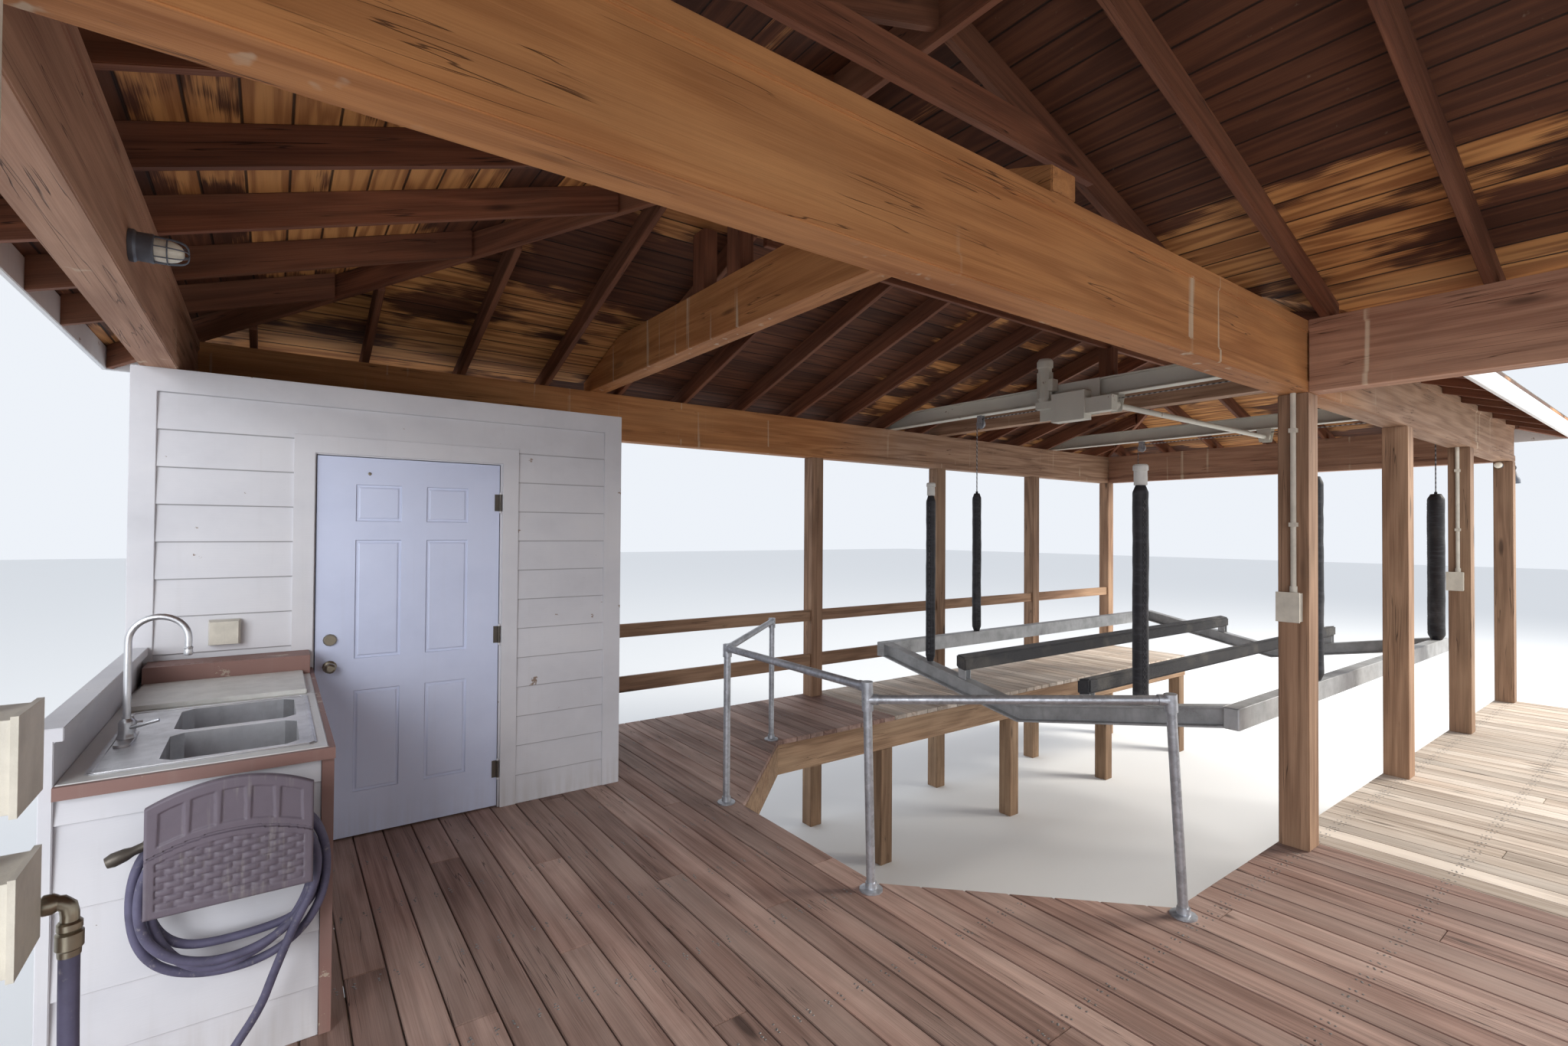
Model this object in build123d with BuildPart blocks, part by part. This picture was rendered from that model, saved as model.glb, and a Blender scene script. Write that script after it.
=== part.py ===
from build123d import *
from math import cos, pi, radians, sin, tan
import os
os.makedirs("parts", exist_ok=True)

# A timber boathouse on piles: an L-shaped hipped roof over a covered deck and a boat slip.
# Millimetres. Z is up and zero is the foot of the piles. Origin under the middle of the roof.
# X runs from the covered deck out to the open end of the slip; Y runs to the storage room.

# General sizes
post = 140.0
bay = 1860.0
slip_bays = 3
wing_bays = 2
wing_width = 5040.0
slip_width = 4320.0
overhang = 360.0
deck = 1300.0
board = 38.0
door_height = 2032.0
over_door = 378.0
beam_deep = 380.0
beam_bottom = deck + door_height + over_door
beam_top = beam_bottom + beam_deep
pitch = 0.32
rafter_thick = 38.0
rafter_rise = 147.0
rafter_step = 610.0
roof_thick = 34.0

# Grid lines: outer faces of the beams, then their inner faces
total_x = wing_width + slip_bays * bay
total_y = slip_width + wing_bays * bay
x_left = -total_x / 2
x_far = total_x / 2
y_near = -total_y / 2
y_back = total_y / 2
x_wing = x_left + wing_width
y_slip = y_back - slip_width
xi_left = x_left + post
xi_far = x_far - post
xi_wing = x_wing - post
yi_near = y_near + post
yi_back = y_back - post
yi_slip = y_slip + post
ridge_x = (xi_left + xi_wing) / 2
ridge_y = (yi_back + yi_slip) / 2
half_wing = (xi_wing - xi_left) / 2
half_slip = (yi_back - yi_slip) / 2

# Slip opening in the deck
slip_right = yi_slip + 10
slip_left = yi_slip + 3040
slip_end = x_left + 2840
slip_corner = 930.0
lip = 30.0
side_edge = y_slip - bay - lip
seam = x_wing + lip

# Storage room
room_left = x_left - 30
room_right = x_left + 2355
room_front = yi_back - 1115
wall = 110.0
door_left = x_left + 697
door_width = 914.0
door_thick = 44.0
gap = 5.0
jamb = 20.0
casing = 90.0
trim = 20.0

# Washing counter beside the door
counter_left = x_left + 30
counter_right = x_left + 670
counter_front = room_front - 1650
counter_height = deck + 940.0

# Boat lift
lift_near = x_wing + 990
lift_far = x_wing + 4070
cradle_near = x_wing - 290
cradle_far = x_wing + 4320
arm_right = slip_right + 160
arm_left = slip_left - 140
arm_wide = 80.0
arm_top = deck + 710.0
arm_deep = 120.0
keel_drop = 260.0


def block(x0, x1, y0, y1, z0, z1, mode=Mode.ADD):
    with Locations(((x0 + x1) / 2, (y0 + y1) / 2, (z0 + z1) / 2)):
        Box(x1 - x0, y1 - y0, z1 - z0, mode=mode)


def profile(plane, points, thick, mode=Mode.ADD):
    corners = [plane.from_local_coords(Vector(a, b, -thick / 2)) for a, b in points]
    extrude(Face(Wire.make_polygon(corners)), amount=thick, dir=plane.z_dir, mode=mode)


def section_x(points, x0, x1, mode=Mode.ADD):
    profile(Plane(origin=((x0 + x1) / 2, 0, 0), x_dir=(0, 1, 0), z_dir=(1, 0, 0)), points, x1 - x0, mode)


def section_y(points, y0, y1, mode=Mode.ADD):
    profile(Plane(origin=(0, (y0 + y1) / 2, 0), x_dir=(1, 0, 0), z_dir=(0, -1, 0)), points, y1 - y0, mode)


def slab(points, z0, z1, mode=Mode.ADD):
    corners = [Vector(x, y, z0) for x, y in points]
    extrude(Face(Wire.make_polygon(corners)), amount=z1 - z0, dir=(0, 0, 1), mode=mode)


# Round pieces have a few flat sides, so that the model stays light
sides = 12


def ring(plane, radius, along=0.0, count=sides):
    turns = [2 * pi * i / count for i in range(count)]
    return [plane.from_local_coords(Vector(radius * cos(t), radius * sin(t), along)) for t in turns]


def pipe(start, end, radius, mode=Mode.ADD, count=sides):
    a = Vector(*start)
    b = Vector(*end)
    plane = Plane(origin=a, z_dir=b - a)
    outline = Wire.make_polygon(ring(plane, radius, 0, count))
    extrude(Face(outline), amount=(b - a).length, dir=plane.z_dir, mode=mode)


# A turned piece: radii and distances along an axis that starts at a point
def turned(start, way, points, mode=Mode.ADD):
    plane = Plane(origin=start, z_dir=Vector(*way))
    rings = [ring(plane, r, d) for r, d in points]
    faces = [Face(Wire.make_polygon(rings[0])), Face(Wire.make_polygon(rings[-1]))]
    for low, high in zip(rings, rings[1:]):
        for i in range(sides):
            faces.append(Face(Wire.make_polygon([low[i - 1], low[i], high[i], high[i - 1]])))
    add(Solid(Shell(faces)), mode=mode)


# A rectangle with cut corners in a sketch
def cut_corners(wide, long, cut, mode=Mode.ADD):
    a = wide / 2
    b = long / 2
    Polygon(
        (a - cut, -b), (a, cut - b), (a, b - cut), (a - cut, b),
        (cut - a, b), (-a, b - cut), (-a, cut - b), (cut - a, -b), mode=mode,
    )


def under(s):
    return beam_top + pitch * s


# A rafter in the vertical plane: s is measured inward from the beam's inner face
def rafter(x, y, dx, dy, s_low, s_high):
    tail = s_low < -post
    if not tail:
        s_low = max(s_low, 0)
    low = (s_low, under(s_low))
    points = [(s_high, under(s_high)), (s_high, under(s_high) + rafter_rise)]
    points += [(s_low, under(s_low) + rafter_rise), low]
    if tail:
        points += [(-post, under(-post)), (-post, beam_top), (0, beam_top)]
    plane = Plane(origin=(x, y, 0), x_dir=(dx, dy, 0), z_dir=(dy, -dx, 0))
    profile(plane, points, rafter_thick)


# A hip or valley rafter on the diagonal through the point x, y
def diagonal(x, y, dx, dy, s_low, s_high, drop):
    k = 2 ** 0.5
    points = [(s_high * k, under(s_high)), (s_high * k, under(s_high) + rafter_rise - drop)]
    points += [(s_low * k, under(s_low) + rafter_rise - drop), (s_low * k, under(s_low))]
    if s_low < -post:
        points += [(-post * k - 20, under(-post) - 4.5), (-post * k - 20, beam_top), (20, beam_top)]
        points += [(20, under(0) + 4.5)]
    plane = Plane(origin=(x, y, 0), x_dir=(dx, dy, 0), z_dir=(dy, -dx, 0))
    profile(plane, points, rafter_thick)


# A built-up beam: a recessed panel between a top and a bottom strip
def beam_section(a0, a1, z0, z1, strip, recess):
    points = [(a0, z0), (a1, z0), (a1, z0 + strip), (a1 - recess, z0 + strip)]
    points += [(a1 - recess, z1 - strip), (a1, z1 - strip), (a1, z1), (a0, z1)]
    points += [(a0, z1 - strip), (a0 + recess, z1 - strip), (a0 + recess, z0 + strip), (a0, z0 + strip)]
    return points


tail_low = -(overhang + post) + 25
inset = 47.0
seat = 0.3
hip_drop = rafter_thick / 2 / 2 ** 0.5 * pitch + seat

# Deck of the covered wing, cut back round the slip
near_outline = [
    (x_left - lip, y_near - lip), (seam, y_near - lip), (seam, slip_right),
    (slip_end + slip_corner, slip_right), (slip_end, slip_right + slip_corner),
    (slip_end, slip_left - slip_corner), (slip_end + slip_corner, slip_left),
    (seam, slip_left), (seam, y_back + lip), (x_left - lip, y_back + lip),
]
with BuildPart() as deck_near:
    slab(near_outline, deck - board, deck)
deck_near.part.label = "deck_near"
export_step(deck_near.part, "parts/deck_near.step")

# Open side deck along the right of the slip, and the walkway along its back
with BuildPart() as deck_walks:
    block(seam, x_far + lip, side_edge, slip_right, deck - board, deck)
    block(seam, x_far + lip, slip_left, y_back + lip, deck - board, deck)
deck_walks.part.label = "deck_walks"
export_step(deck_walks.part, "parts/deck_walks.step")

# Rim boards round the whole deck and the slip
joist_top = deck - board
joist_deep = 235.0
joist_bottom = joist_top - joist_deep
outline = [
    (x_left - lip, y_near - lip), (seam, y_near - lip), (seam, side_edge),
    (x_far + lip, side_edge), (x_far + lip, slip_right),
    (slip_end + slip_corner, slip_right), (slip_end, slip_right + slip_corner),
    (slip_end, slip_left - slip_corner), (slip_end + slip_corner, slip_left),
    (x_far + lip, slip_left), (x_far + lip, y_back + lip), (x_left - lip, y_back + lip),
]
with BuildPart() as deck_rim:
    with BuildSketch(Plane.XY.offset(joist_bottom)):
        with BuildLine():
            Polyline(*outline, close=True)
        whole = make_face()
        offset(whole, amount=-board, kind=Kind.INTERSECTION, mode=Mode.SUBTRACT)
    extrude(amount=joist_deep)
deck_rim.part.label = "deck_rim"
export_step(deck_rim.part, "parts/deck_rim.step")

# Joists run with X under the boards
joist_rows = 14
joist_first = y_near - lip + 580
joist_step = (total_y + 2 * lip - 2 * 580) / (joist_rows - 1)
with BuildPart() as joists:
    for i in range(joist_rows):
        y = joist_first + i * joist_step
        x0 = x_left - lip + board
        x1 = x_far + lip - board
        if y < side_edge + 60:
            x1 = seam - board
        if abs(y - side_edge) < 60:
            y = side_edge - 80
        if slip_right - 60 < y < slip_left + 60:
            away = max(slip_right + slip_corner - y, y - slip_left + slip_corner, 0)
            x1 = slip_end + away - 1.5 * board - 25
        block(x0, x1, y - board / 2, y + board / 2, joist_bottom, joist_top)
joists.part.label = "joists"
export_step(joists.part, "parts/joists.step")

# Girders run with Y under the joists, and piles stand under them
girder_deep = 235.0
girder_bottom = joist_bottom - girder_deep
girder_mid = (x_left + xi_wing) / 2 - 140
with BuildPart() as girders:
    block(x_left, xi_left, y_near, y_back, girder_bottom, joist_bottom)
    block(girder_mid, girder_mid + post, y_near, y_back, girder_bottom, joist_bottom)
    block(xi_wing, x_wing, y_near, slip_right, girder_bottom, joist_bottom)
    for i in range(1, slip_bays + 1):
        x = xi_wing + i * bay
        block(x, x + post, side_edge + lip, slip_right, girder_bottom, joist_bottom)
girders.part.label = "girders"
export_step(girders.part, "parts/girders.step")

with BuildPart() as piles:
    for x in (x_left, girder_mid):
        for y in (y_near, y_slip - bay, y_slip, ridge_y, yi_back):
            block(x, x + post, y, y + post, 0, girder_bottom)
    for y in (y_near, y_slip - bay, y_slip):
        block(xi_wing, x_wing, y, y + post, 0, girder_bottom)
    for i in range(1, slip_bays + 1):
        x = xi_wing + i * bay
        for y in (y_slip - bay, y_slip):
            block(x, x + post, y, y + post, 0, girder_bottom)
    for i in range(slip_bays + 1):
        x = xi_wing + i * bay
        for y in (slip_left, yi_back):
            block(x, x + post, y, y + post, 0, joist_bottom)
piles.part.label = "piles"
export_step(piles.part, "parts/piles.step")

# Posts stand on the deck under the beams
with BuildPart() as posts:
    for i in range(slip_bays + 1):
        x = xi_wing + i * bay
        block(x, x + post, y_slip, yi_slip, deck, beam_bottom)
        block(x, x + post, yi_back, y_back, deck, beam_bottom)
    for y in (y_near, y_slip - bay):
        block(xi_wing, x_wing, y, y + post, deck, beam_bottom)
    for y in (y_near, y_slip - bay, y_slip):
        block(x_left, xi_left, y, y + post, deck, beam_bottom)
posts.part.label = "posts"
export_step(posts.part, "parts/posts.step")

# Built-up beams round the roof
strip = 60.0
recess = 8.0
with BuildPart() as beams_long:
    section_x(beam_section(y_slip, yi_slip, beam_bottom, beam_top, strip, recess), x_left, x_far)
    section_x(beam_section(yi_back, y_back, beam_bottom, beam_top, strip, recess), x_left, x_far)
    section_x(beam_section(y_near, yi_near, beam_bottom, beam_top, strip, recess), xi_left, xi_wing)
beams_long.part.label = "beams_long"
export_step(beams_long.part, "parts/beams_long.step")

with BuildPart() as beams_cross:
    section_y(beam_section(xi_far, x_far, beam_bottom, beam_top, strip, recess), yi_slip, yi_back)
    section_y(beam_section(xi_wing, x_wing, beam_bottom, beam_top, strip, recess), y_near, y_slip)
    section_y(beam_section(x_left, xi_left, beam_bottom, beam_top, strip, recess), y_near, y_slip)
    section_y(beam_section(x_left, xi_left, beam_bottom, beam_top, strip, recess), yi_slip, yi_back)
beams_cross.part.label = "beams_cross"
export_step(beams_cross.part, "parts/beams_cross.step")

# Tie beams rest on the slip and back beams, their ends cut to the roof
tie_x = (ridge_x + 60, xi_wing + bay)
tie_top = beam_top + 320.0
tie_cut = (tie_top - beam_top - rafter_rise + 12) / pitch
tie_points = [
    (y_slip, beam_top), (y_back, beam_top),
    (y_back, under(-post) + rafter_rise - 12), (yi_back - tie_cut, tie_top),
    (yi_slip + tie_cut, tie_top), (y_slip, under(-post) + rafter_rise - 12),
]
with BuildPart() as tie_beams:
    for x in tie_x:
        section_x(tie_points, x, x + post)
tie_beams.part.label = "tie_beams"
export_step(tie_beams.part, "parts/tie_beams.step")

# Struts stand on the tie beams and carry the ridges
ridge_deep = 184.0
ridge_wing_top = under(half_wing) + rafter_rise - 7
ridge_slip_top = under(half_slip) + rafter_rise - 7
strut_y = ridge_y + 230
strut_top = under(yi_back - strut_y - post / 2) + rafter_rise - 8
with BuildPart() as struts:
    block(tie_x[0], tie_x[0] + 90, strut_y - post / 2, strut_y + post / 2, tie_top, strut_top)
    block(tie_x[0], tie_x[0] + 90, ridge_y - 240, ridge_y - 100, tie_top, under(xi_wing - tie_x[0] - 90) - 8)
    block(tie_x[1] + 25, tie_x[1] + 115, ridge_y - 70, ridge_y + 70, tie_top, ridge_slip_top - ridge_deep)
struts.part.label = "struts"
export_step(struts.part, "parts/struts.step")

# Ridge boards
with BuildPart() as ridges:
    block(
        ridge_x - 19, ridge_x + 19, yi_near + half_wing, yi_back - half_wing,
        ridge_wing_top - ridge_deep, ridge_wing_top,
    )
    block(
        xi_wing - half_slip + 30, xi_far - half_slip, ridge_y - 19, ridge_y + 19,
        ridge_slip_top - ridge_deep, ridge_slip_top,
    )
ridges.part.label = "ridges"
export_step(ridges.part, "parts/ridges.step")

# Hip and valley rafters
hip_low = tail_low + 14
with BuildPart() as hips:
    diagonal(xi_left, yi_back, 1, -1, hip_low, half_wing - inset, hip_drop)
    diagonal(xi_left, yi_near, 1, 1, hip_low, half_wing - inset, hip_drop)
    diagonal(xi_wing, yi_near, -1, 1, hip_low, half_wing - inset, hip_drop)
    diagonal(xi_far, yi_back, -1, -1, hip_low, half_slip - inset, hip_drop)
    diagonal(xi_far, yi_slip, -1, 1, hip_low, half_slip - inset, hip_drop)
    diagonal(xi_wing, yi_back, -1, -1, half_slip + 40, half_wing - inset, hip_drop)
    diagonal(xi_wing, yi_slip, -1, 1, 60, half_slip - inset, 0)
hips.part.label = "hips"
export_step(hips.part, "parts/hips.step")

# Common and jack rafters of each slope
rows_y = [yi_slip + 297, yi_slip - 210]
rows_y += [yi_slip - 210 - rafter_step * i for i in range(1, 6)]
rows_y += [yi_slip + 297 + rafter_step * i for i in range(1, 6)]
rows_x = [xi_wing - 230 + rafter_step * (i - 7) for i in range(17)]
with BuildPart() as rafters_wing:
    for y in rows_y:
        top = min(half_wing - 19, yi_back - y - inset, y - yi_near - inset)
        low = max(tail_low, y - yi_slip + inset)
        if top > 100:
            rafter(xi_left, y, 1, 0, tail_low, top)
        if top - low > 250:
            rafter(xi_wing, y, -1, 0, low, top)
    for i in range(-3, 4):
        x = ridge_x + i * rafter_step
        rafter(x, yi_near, 0, 1, tail_low, half_wing - abs(i) * rafter_step - inset)
rafters_wing.part.label = "rafters_wing"
export_step(rafters_wing.part, "parts/rafters_wing.step")

with BuildPart() as rafters_slip:
    for x in rows_x:
        top = min(x - xi_left - inset, xi_far - x - inset)
        if x > xi_wing - half_slip:
            top = min(top, half_slip - 19)
        else:
            top = min(top, xi_wing - x - inset)
        if top > 100:
            rafter(x, yi_back, 0, -1, tail_low, top)
        top = min(half_slip - 19, xi_far - x - inset)
        low = max(tail_low, xi_wing - x + inset)
        if top - low > 250 and top > 100:
            rafter(x, yi_slip, 0, 1, low, top)
    for i in range(-3, 4):
        y = ridge_y + i * rafter_step
        rafter(xi_far, y, -1, 0, tail_low, half_slip - abs(i) * rafter_step - inset)
rafters_slip.part.label = "rafters_slip"
export_step(rafters_slip.part, "parts/rafters_slip.step")

# Collar tie across the wing, its ends cut under the rafters
collar_y = rows_y[0] - 19
collar_bottom = beam_top + 450.0
collar_low = (collar_bottom - beam_top) / pitch - 6
collar_high = (collar_bottom + post - beam_top) / pitch - 6
with BuildPart() as collar:
    section_y(
        [
            (xi_left + collar_low, collar_bottom), (xi_wing - collar_low, collar_bottom),
            (xi_wing - collar_high, collar_bottom + post), (xi_left + collar_high, collar_bottom + post),
        ],
        collar_y - board, collar_y,
    )
collar.part.label = "collar"
export_step(collar.part, "parts/collar.step")

# Roof slopes: each a sloping sheet cut upright at the hips, ridges and the valley
eave = overhang + post
deck_under = beam_top + rafter_rise
corner_lb = (xi_left - eave, yi_back + eave, -eave)
corner_ln = (xi_left - eave, yi_near - eave, -eave)
corner_wn = (xi_wing + eave, yi_near - eave, -eave)
corner_ws = (xi_wing + eave, yi_slip - eave, -eave)
corner_fs = (xi_far + eave, yi_slip - eave, -eave)
corner_fb = (xi_far + eave, yi_back + eave, -eave)
top_back = (ridge_x, yi_back - half_wing, half_wing)
top_near = (ridge_x, yi_near + half_wing, half_wing)
top_wing = (xi_wing - half_slip, ridge_y, half_slip)
top_far = (xi_far - half_slip, ridge_y, half_slip)


def slope(corners):
    points = [Vector(x, y, deck_under + pitch * s) for x, y, s in corners]
    extrude(Face(Wire.make_polygon(points)), amount=roof_thick, dir=(0, 0, 1))


with BuildPart() as roof_left:
    slope([corner_lb, top_back, top_near, corner_ln])
roof_left.part.label = "roof_left"
export_step(roof_left.part, "parts/roof_left.step")

with BuildPart() as roof_back:
    slope([corner_lb, corner_fb, top_far, top_wing, top_back])
roof_back.part.label = "roof_back"
export_step(roof_back.part, "parts/roof_back.step")

with BuildPart() as roof_far:
    slope([corner_fb, corner_fs, top_far])
roof_far.part.label = "roof_far"
export_step(roof_far.part, "parts/roof_far.step")

with BuildPart() as roof_slip:
    slope([corner_fs, corner_ws, top_wing, top_far])
roof_slip.part.label = "roof_slip"
export_step(roof_slip.part, "parts/roof_slip.step")

with BuildPart() as roof_wing:
    slope([corner_ws, corner_wn, top_near, top_back, top_wing])
roof_wing.part.label = "roof_wing"
export_step(roof_wing.part, "parts/roof_wing.step")

with BuildPart() as roof_near:
    slope([corner_wn, corner_ln, top_near])
roof_near.part.label = "roof_near"
export_step(roof_near.part, "parts/roof_near.step")

# Fascia round the eaves
eave_line = [c[:2] for c in (corner_ln, corner_wn, corner_ws, corner_fs, corner_fb, corner_lb)]
fascia_top = deck_under - pitch * eave
with BuildPart() as fascia:
    with BuildSketch(Plane.XY.offset(fascia_top - 140)):
        with BuildLine():
            Polyline(*eave_line, close=True)
        whole = make_face()
        offset(whole, amount=-25, kind=Kind.INTERSECTION, mode=Mode.SUBTRACT)
    extrude(amount=140)
fascia.part.label = "fascia"
export_step(fascia.part, "parts/fascia.step")

# Storage room walls
opening_left = door_left - gap - jamb
opening_right = door_left + door_width + gap + jamb
opening_top = deck + 10 + door_height + gap + jamb
with BuildPart() as wall_front_left:
    block(room_left, opening_left, room_front, room_front + wall, deck, beam_bottom)
wall_front_left.part.label = "wall_front_left"
export_step(wall_front_left.part, "parts/wall_front_left.step")

with BuildPart() as wall_front_right:
    block(opening_right, room_right, room_front, room_front + wall, deck, beam_bottom)
wall_front_right.part.label = "wall_front_right"
export_step(wall_front_right.part, "parts/wall_front_right.step")

with BuildPart() as wall_front_top:
    block(opening_left, opening_right, room_front, room_front + wall, opening_top, beam_bottom)
wall_front_top.part.label = "wall_front_top"
export_step(wall_front_top.part, "parts/wall_front_top.step")

with BuildPart() as wall_rear:
    block(room_left, room_left + wall, room_front + wall, y_back, deck, beam_bottom)
    block(room_right - wall, room_right, room_front + wall, y_back, deck, beam_bottom)
    block(room_left, room_right, y_back - wall, y_back, deck, beam_bottom)
wall_rear.part.label = "wall_rear"
export_step(wall_rear.part, "parts/wall_rear.step")

# Corner boards and frieze on the front and the right side
with BuildPart() as wall_trim:
    front = room_front
    block(room_left, room_left + 95, front - trim, front, deck, beam_bottom)
    block(room_right - 95, room_right + trim, front - trim, front, deck, beam_bottom)
    block(room_right, room_right + trim, front, front + 95, deck, beam_bottom)
    block(room_left + 95, room_right - 95, front - trim, front, beam_bottom - 110, beam_bottom)
wall_trim.part.label = "wall_trim"
export_step(wall_trim.part, "parts/wall_trim.step")

# Door frame: jambs, head, stop and the casing round them
leaf_bottom = deck + 10
leaf_top = leaf_bottom + door_height
leaf_right = door_left + door_width
hinge_x = leaf_right + 3
hinge_y = room_front - 9
hinge_heights = (leaf_bottom + 219, leaf_bottom + door_height / 2 + 5, leaf_top - 224)
hinge_half = 50.0
knuckle = 7.0
knuckle_end = 12.0
with BuildPart() as door_frame:
    y0 = room_front - trim
    y1 = room_front + wall
    head = leaf_top + gap
    block(opening_left, opening_left + jamb, room_front, y1, deck, opening_top)
    block(opening_right - jamb, opening_right, room_front, y1, deck, opening_top)
    block(opening_left, opening_right, room_front, y1, head, opening_top)
    stop = room_front + door_thick + gap
    block(opening_left + jamb, opening_left + jamb + 15, stop, y1, deck, head)
    block(opening_right - jamb - 15, opening_right - jamb, stop, y1, deck, head)
    block(opening_left + jamb, opening_right - jamb, stop, y1, head - 15, head)
    inner_left = door_left - gap - 6
    inner_right = leaf_right + gap + 10
    block(inner_left - casing, inner_left, y0, room_front, deck, head + 6)
    block(inner_right, inner_right + casing, y0, room_front, deck, head + 6)
    block(inner_left - casing, inner_right + casing, y0, room_front, head + 6, head + 6 + casing)
    for z in hinge_heights:
        for foot in (z - hinge_half - seat - knuckle_end, z + hinge_half + seat):
            pipe((hinge_x, hinge_y, foot), (hinge_x, hinge_y, foot + knuckle_end), knuckle)
            block(hinge_x, inner_right + 2, hinge_y - 2, hinge_y + 2, foot, foot + knuckle_end)
door_frame.part.label = "door_frame"
export_step(door_frame.part, "parts/door_frame.step")

# Door leaf with six raised panels on the outside
panel_half = 108.0
panel_rise = 40.0
panels = ((235, 776), (950, 1585), (1689, 1885))
with BuildPart() as door_leaf:
    y0 = room_front
    block(door_left, leaf_right, y0, y0 + door_thick, leaf_bottom, leaf_top)
    for cx in (door_left + 285, leaf_right - 285):
        for foot, head in panels:
            a = leaf_bottom + foot * door_height / 2032
            b = leaf_bottom + head * door_height / 2032
            block(cx - panel_half, cx + panel_half, y0, y0 + 7, a, b, Mode.SUBTRACT)
            with BuildSketch(Plane(origin=(cx, y0 + 7, (a + b) / 2), x_dir=(1, 0, 0), z_dir=(0, -1, 0))):
                Rectangle(2 * panel_half - 24, b - a - 24)
            extrude(amount=6, taper=45)
door_leaf.part.label = "door_leaf"
export_step(door_leaf.part, "parts/door_leaf.step")

# Knob, deadbolt and viewer on the leaf
knob_x = door_left + 66
viewer_x = door_left + 238
with BuildPart() as door_handle:
    turned(
        (knob_x, room_front, deck + 926), (0, -1, 0),
        [(33, 0), (33, 4), (26, 9), (12, 11), (12, 34), (22, 40), (27, 50), (25, 64), (15, 72)],
    )
    turned(
        (knob_x, room_front, deck + 1068), (0, -1, 0),
        [(32, 0), (32, 5), (27, 16)],
    )
    turned((viewer_x, room_front, leaf_top - 86), (0, -1, 0), [(9, 0), (9, 2), (6, 4)])
door_handle.part.label = "door_handle"
export_step(door_handle.part, "parts/door_handle.step")

# Hinge barrels stand proud of the leaf on its right edge
with BuildPart() as door_hinges:
    for z in hinge_heights:
        pipe((hinge_x, hinge_y, z - hinge_half), (hinge_x, hinge_y, z + hinge_half), knuckle)
        block(leaf_right - 28, leaf_right + 1, room_front - 3, room_front, z - hinge_half, z + hinge_half)
        block(leaf_right - 4, hinge_x, room_front - 6, room_front - 1, z - hinge_half, z + hinge_half)
door_hinges.part.label = "door_hinges"
export_step(door_hinges.part, "parts/door_hinges.step")

# Weatherproof outlet on the front wall, boxes on the wing's post, conduits down two slip posts
outlet_x = x_left + 328
outlet_z = deck + 1148
conduit = 13.0
with BuildPart() as electrics:
    block(outlet_x - 58, outlet_x + 58, room_front - 16, room_front, outlet_z - 56, outlet_z + 56)
    with BuildSketch(Plane(origin=(outlet_x, room_front - 16, outlet_z), x_dir=(1, 0, 0), z_dir=(0, -1, 0))):
        Rectangle(124, 124)
    extrude(amount=52, taper=8)
    for z in (deck + 1060, deck + 1275):
        block(xi_left, xi_left + 95, y_slip + 10, y_slip + 130, z, z + 125)
        block(xi_left + 95, xi_left + 103, y_slip + 5, y_slip + 135, z - 5, z + 130)
    pipe((xi_left + 50, y_slip + 70, deck + 1185), (xi_left + 50, y_slip + 70, deck + 1275), 11)
    pipe((xi_left + 50, y_slip + 70, deck + 1400), (xi_left + 50, y_slip + 70, beam_bottom), 11)
    for i, y in ((0, y_slip + 62), (2, y_slip + 75)):
        x = xi_wing + i * bay
        stand = x - conduit - 6
        pipe((stand, y, deck + 1350), (stand, y, beam_bottom), conduit)
        pipe((stand, y, deck + 1350), (stand, y, deck + 1385), conduit + 5)
        for z in (deck + 1700, deck + 2200):
            block(x - 2 * conduit - 9, x, y - 17, y + 17, z, z + 22)
        block(x - 52, x, y - 35, y + 65, deck + 1200, deck + 1350)
        block(x - 60, x - 52, y - 39, y + 69, deck + 1196, deck + 1354)
electrics.part.label = "electrics"
export_step(electrics.part, "parts/electrics.step")

# Counter: a hollow case, a top with a double sink, a back ledge and a slotted shelf at the wall
case_wall = 40.0
top_thick = 38.0
case_top = counter_height - top_thick
case_front = counter_front + 20
case_right = counter_right - 20
counter_end = room_front - trim
with BuildPart() as counter_case:
    block(counter_left, case_right, case_front, counter_end, deck, case_top)
    block(
        counter_left + case_wall, case_right - case_wall,
        case_front + case_wall, counter_end - case_wall, deck, case_top, Mode.SUBTRACT,
    )
counter_case.part.label = "counter_case"
export_step(counter_case.part, "parts/counter_case.step")

# Brown edge round the top and the corner board under it
edge_thick = 18.0
edge_deep = 60.0
edge_line = [
    (counter_left, counter_front), (counter_left, counter_front - edge_thick),
    (counter_right + edge_thick, counter_front - edge_thick), (counter_right + edge_thick, counter_end),
    (counter_right, counter_end), (counter_right, counter_front),
]
corner_line = [
    (case_right - 70, case_front), (case_right - 70, case_front - edge_thick),
    (case_right + edge_thick, case_front - edge_thick), (case_right + edge_thick, case_front + 70),
    (case_right, case_front + 70), (case_right, case_front),
]
with BuildPart() as counter_edge:
    slab(edge_line, counter_height - edge_deep, counter_height - 2)
    slab(corner_line, deck, counter_height - edge_deep)
counter_edge.part.label = "counter_edge"
export_step(counter_edge.part, "parts/counter_edge.step")

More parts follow.
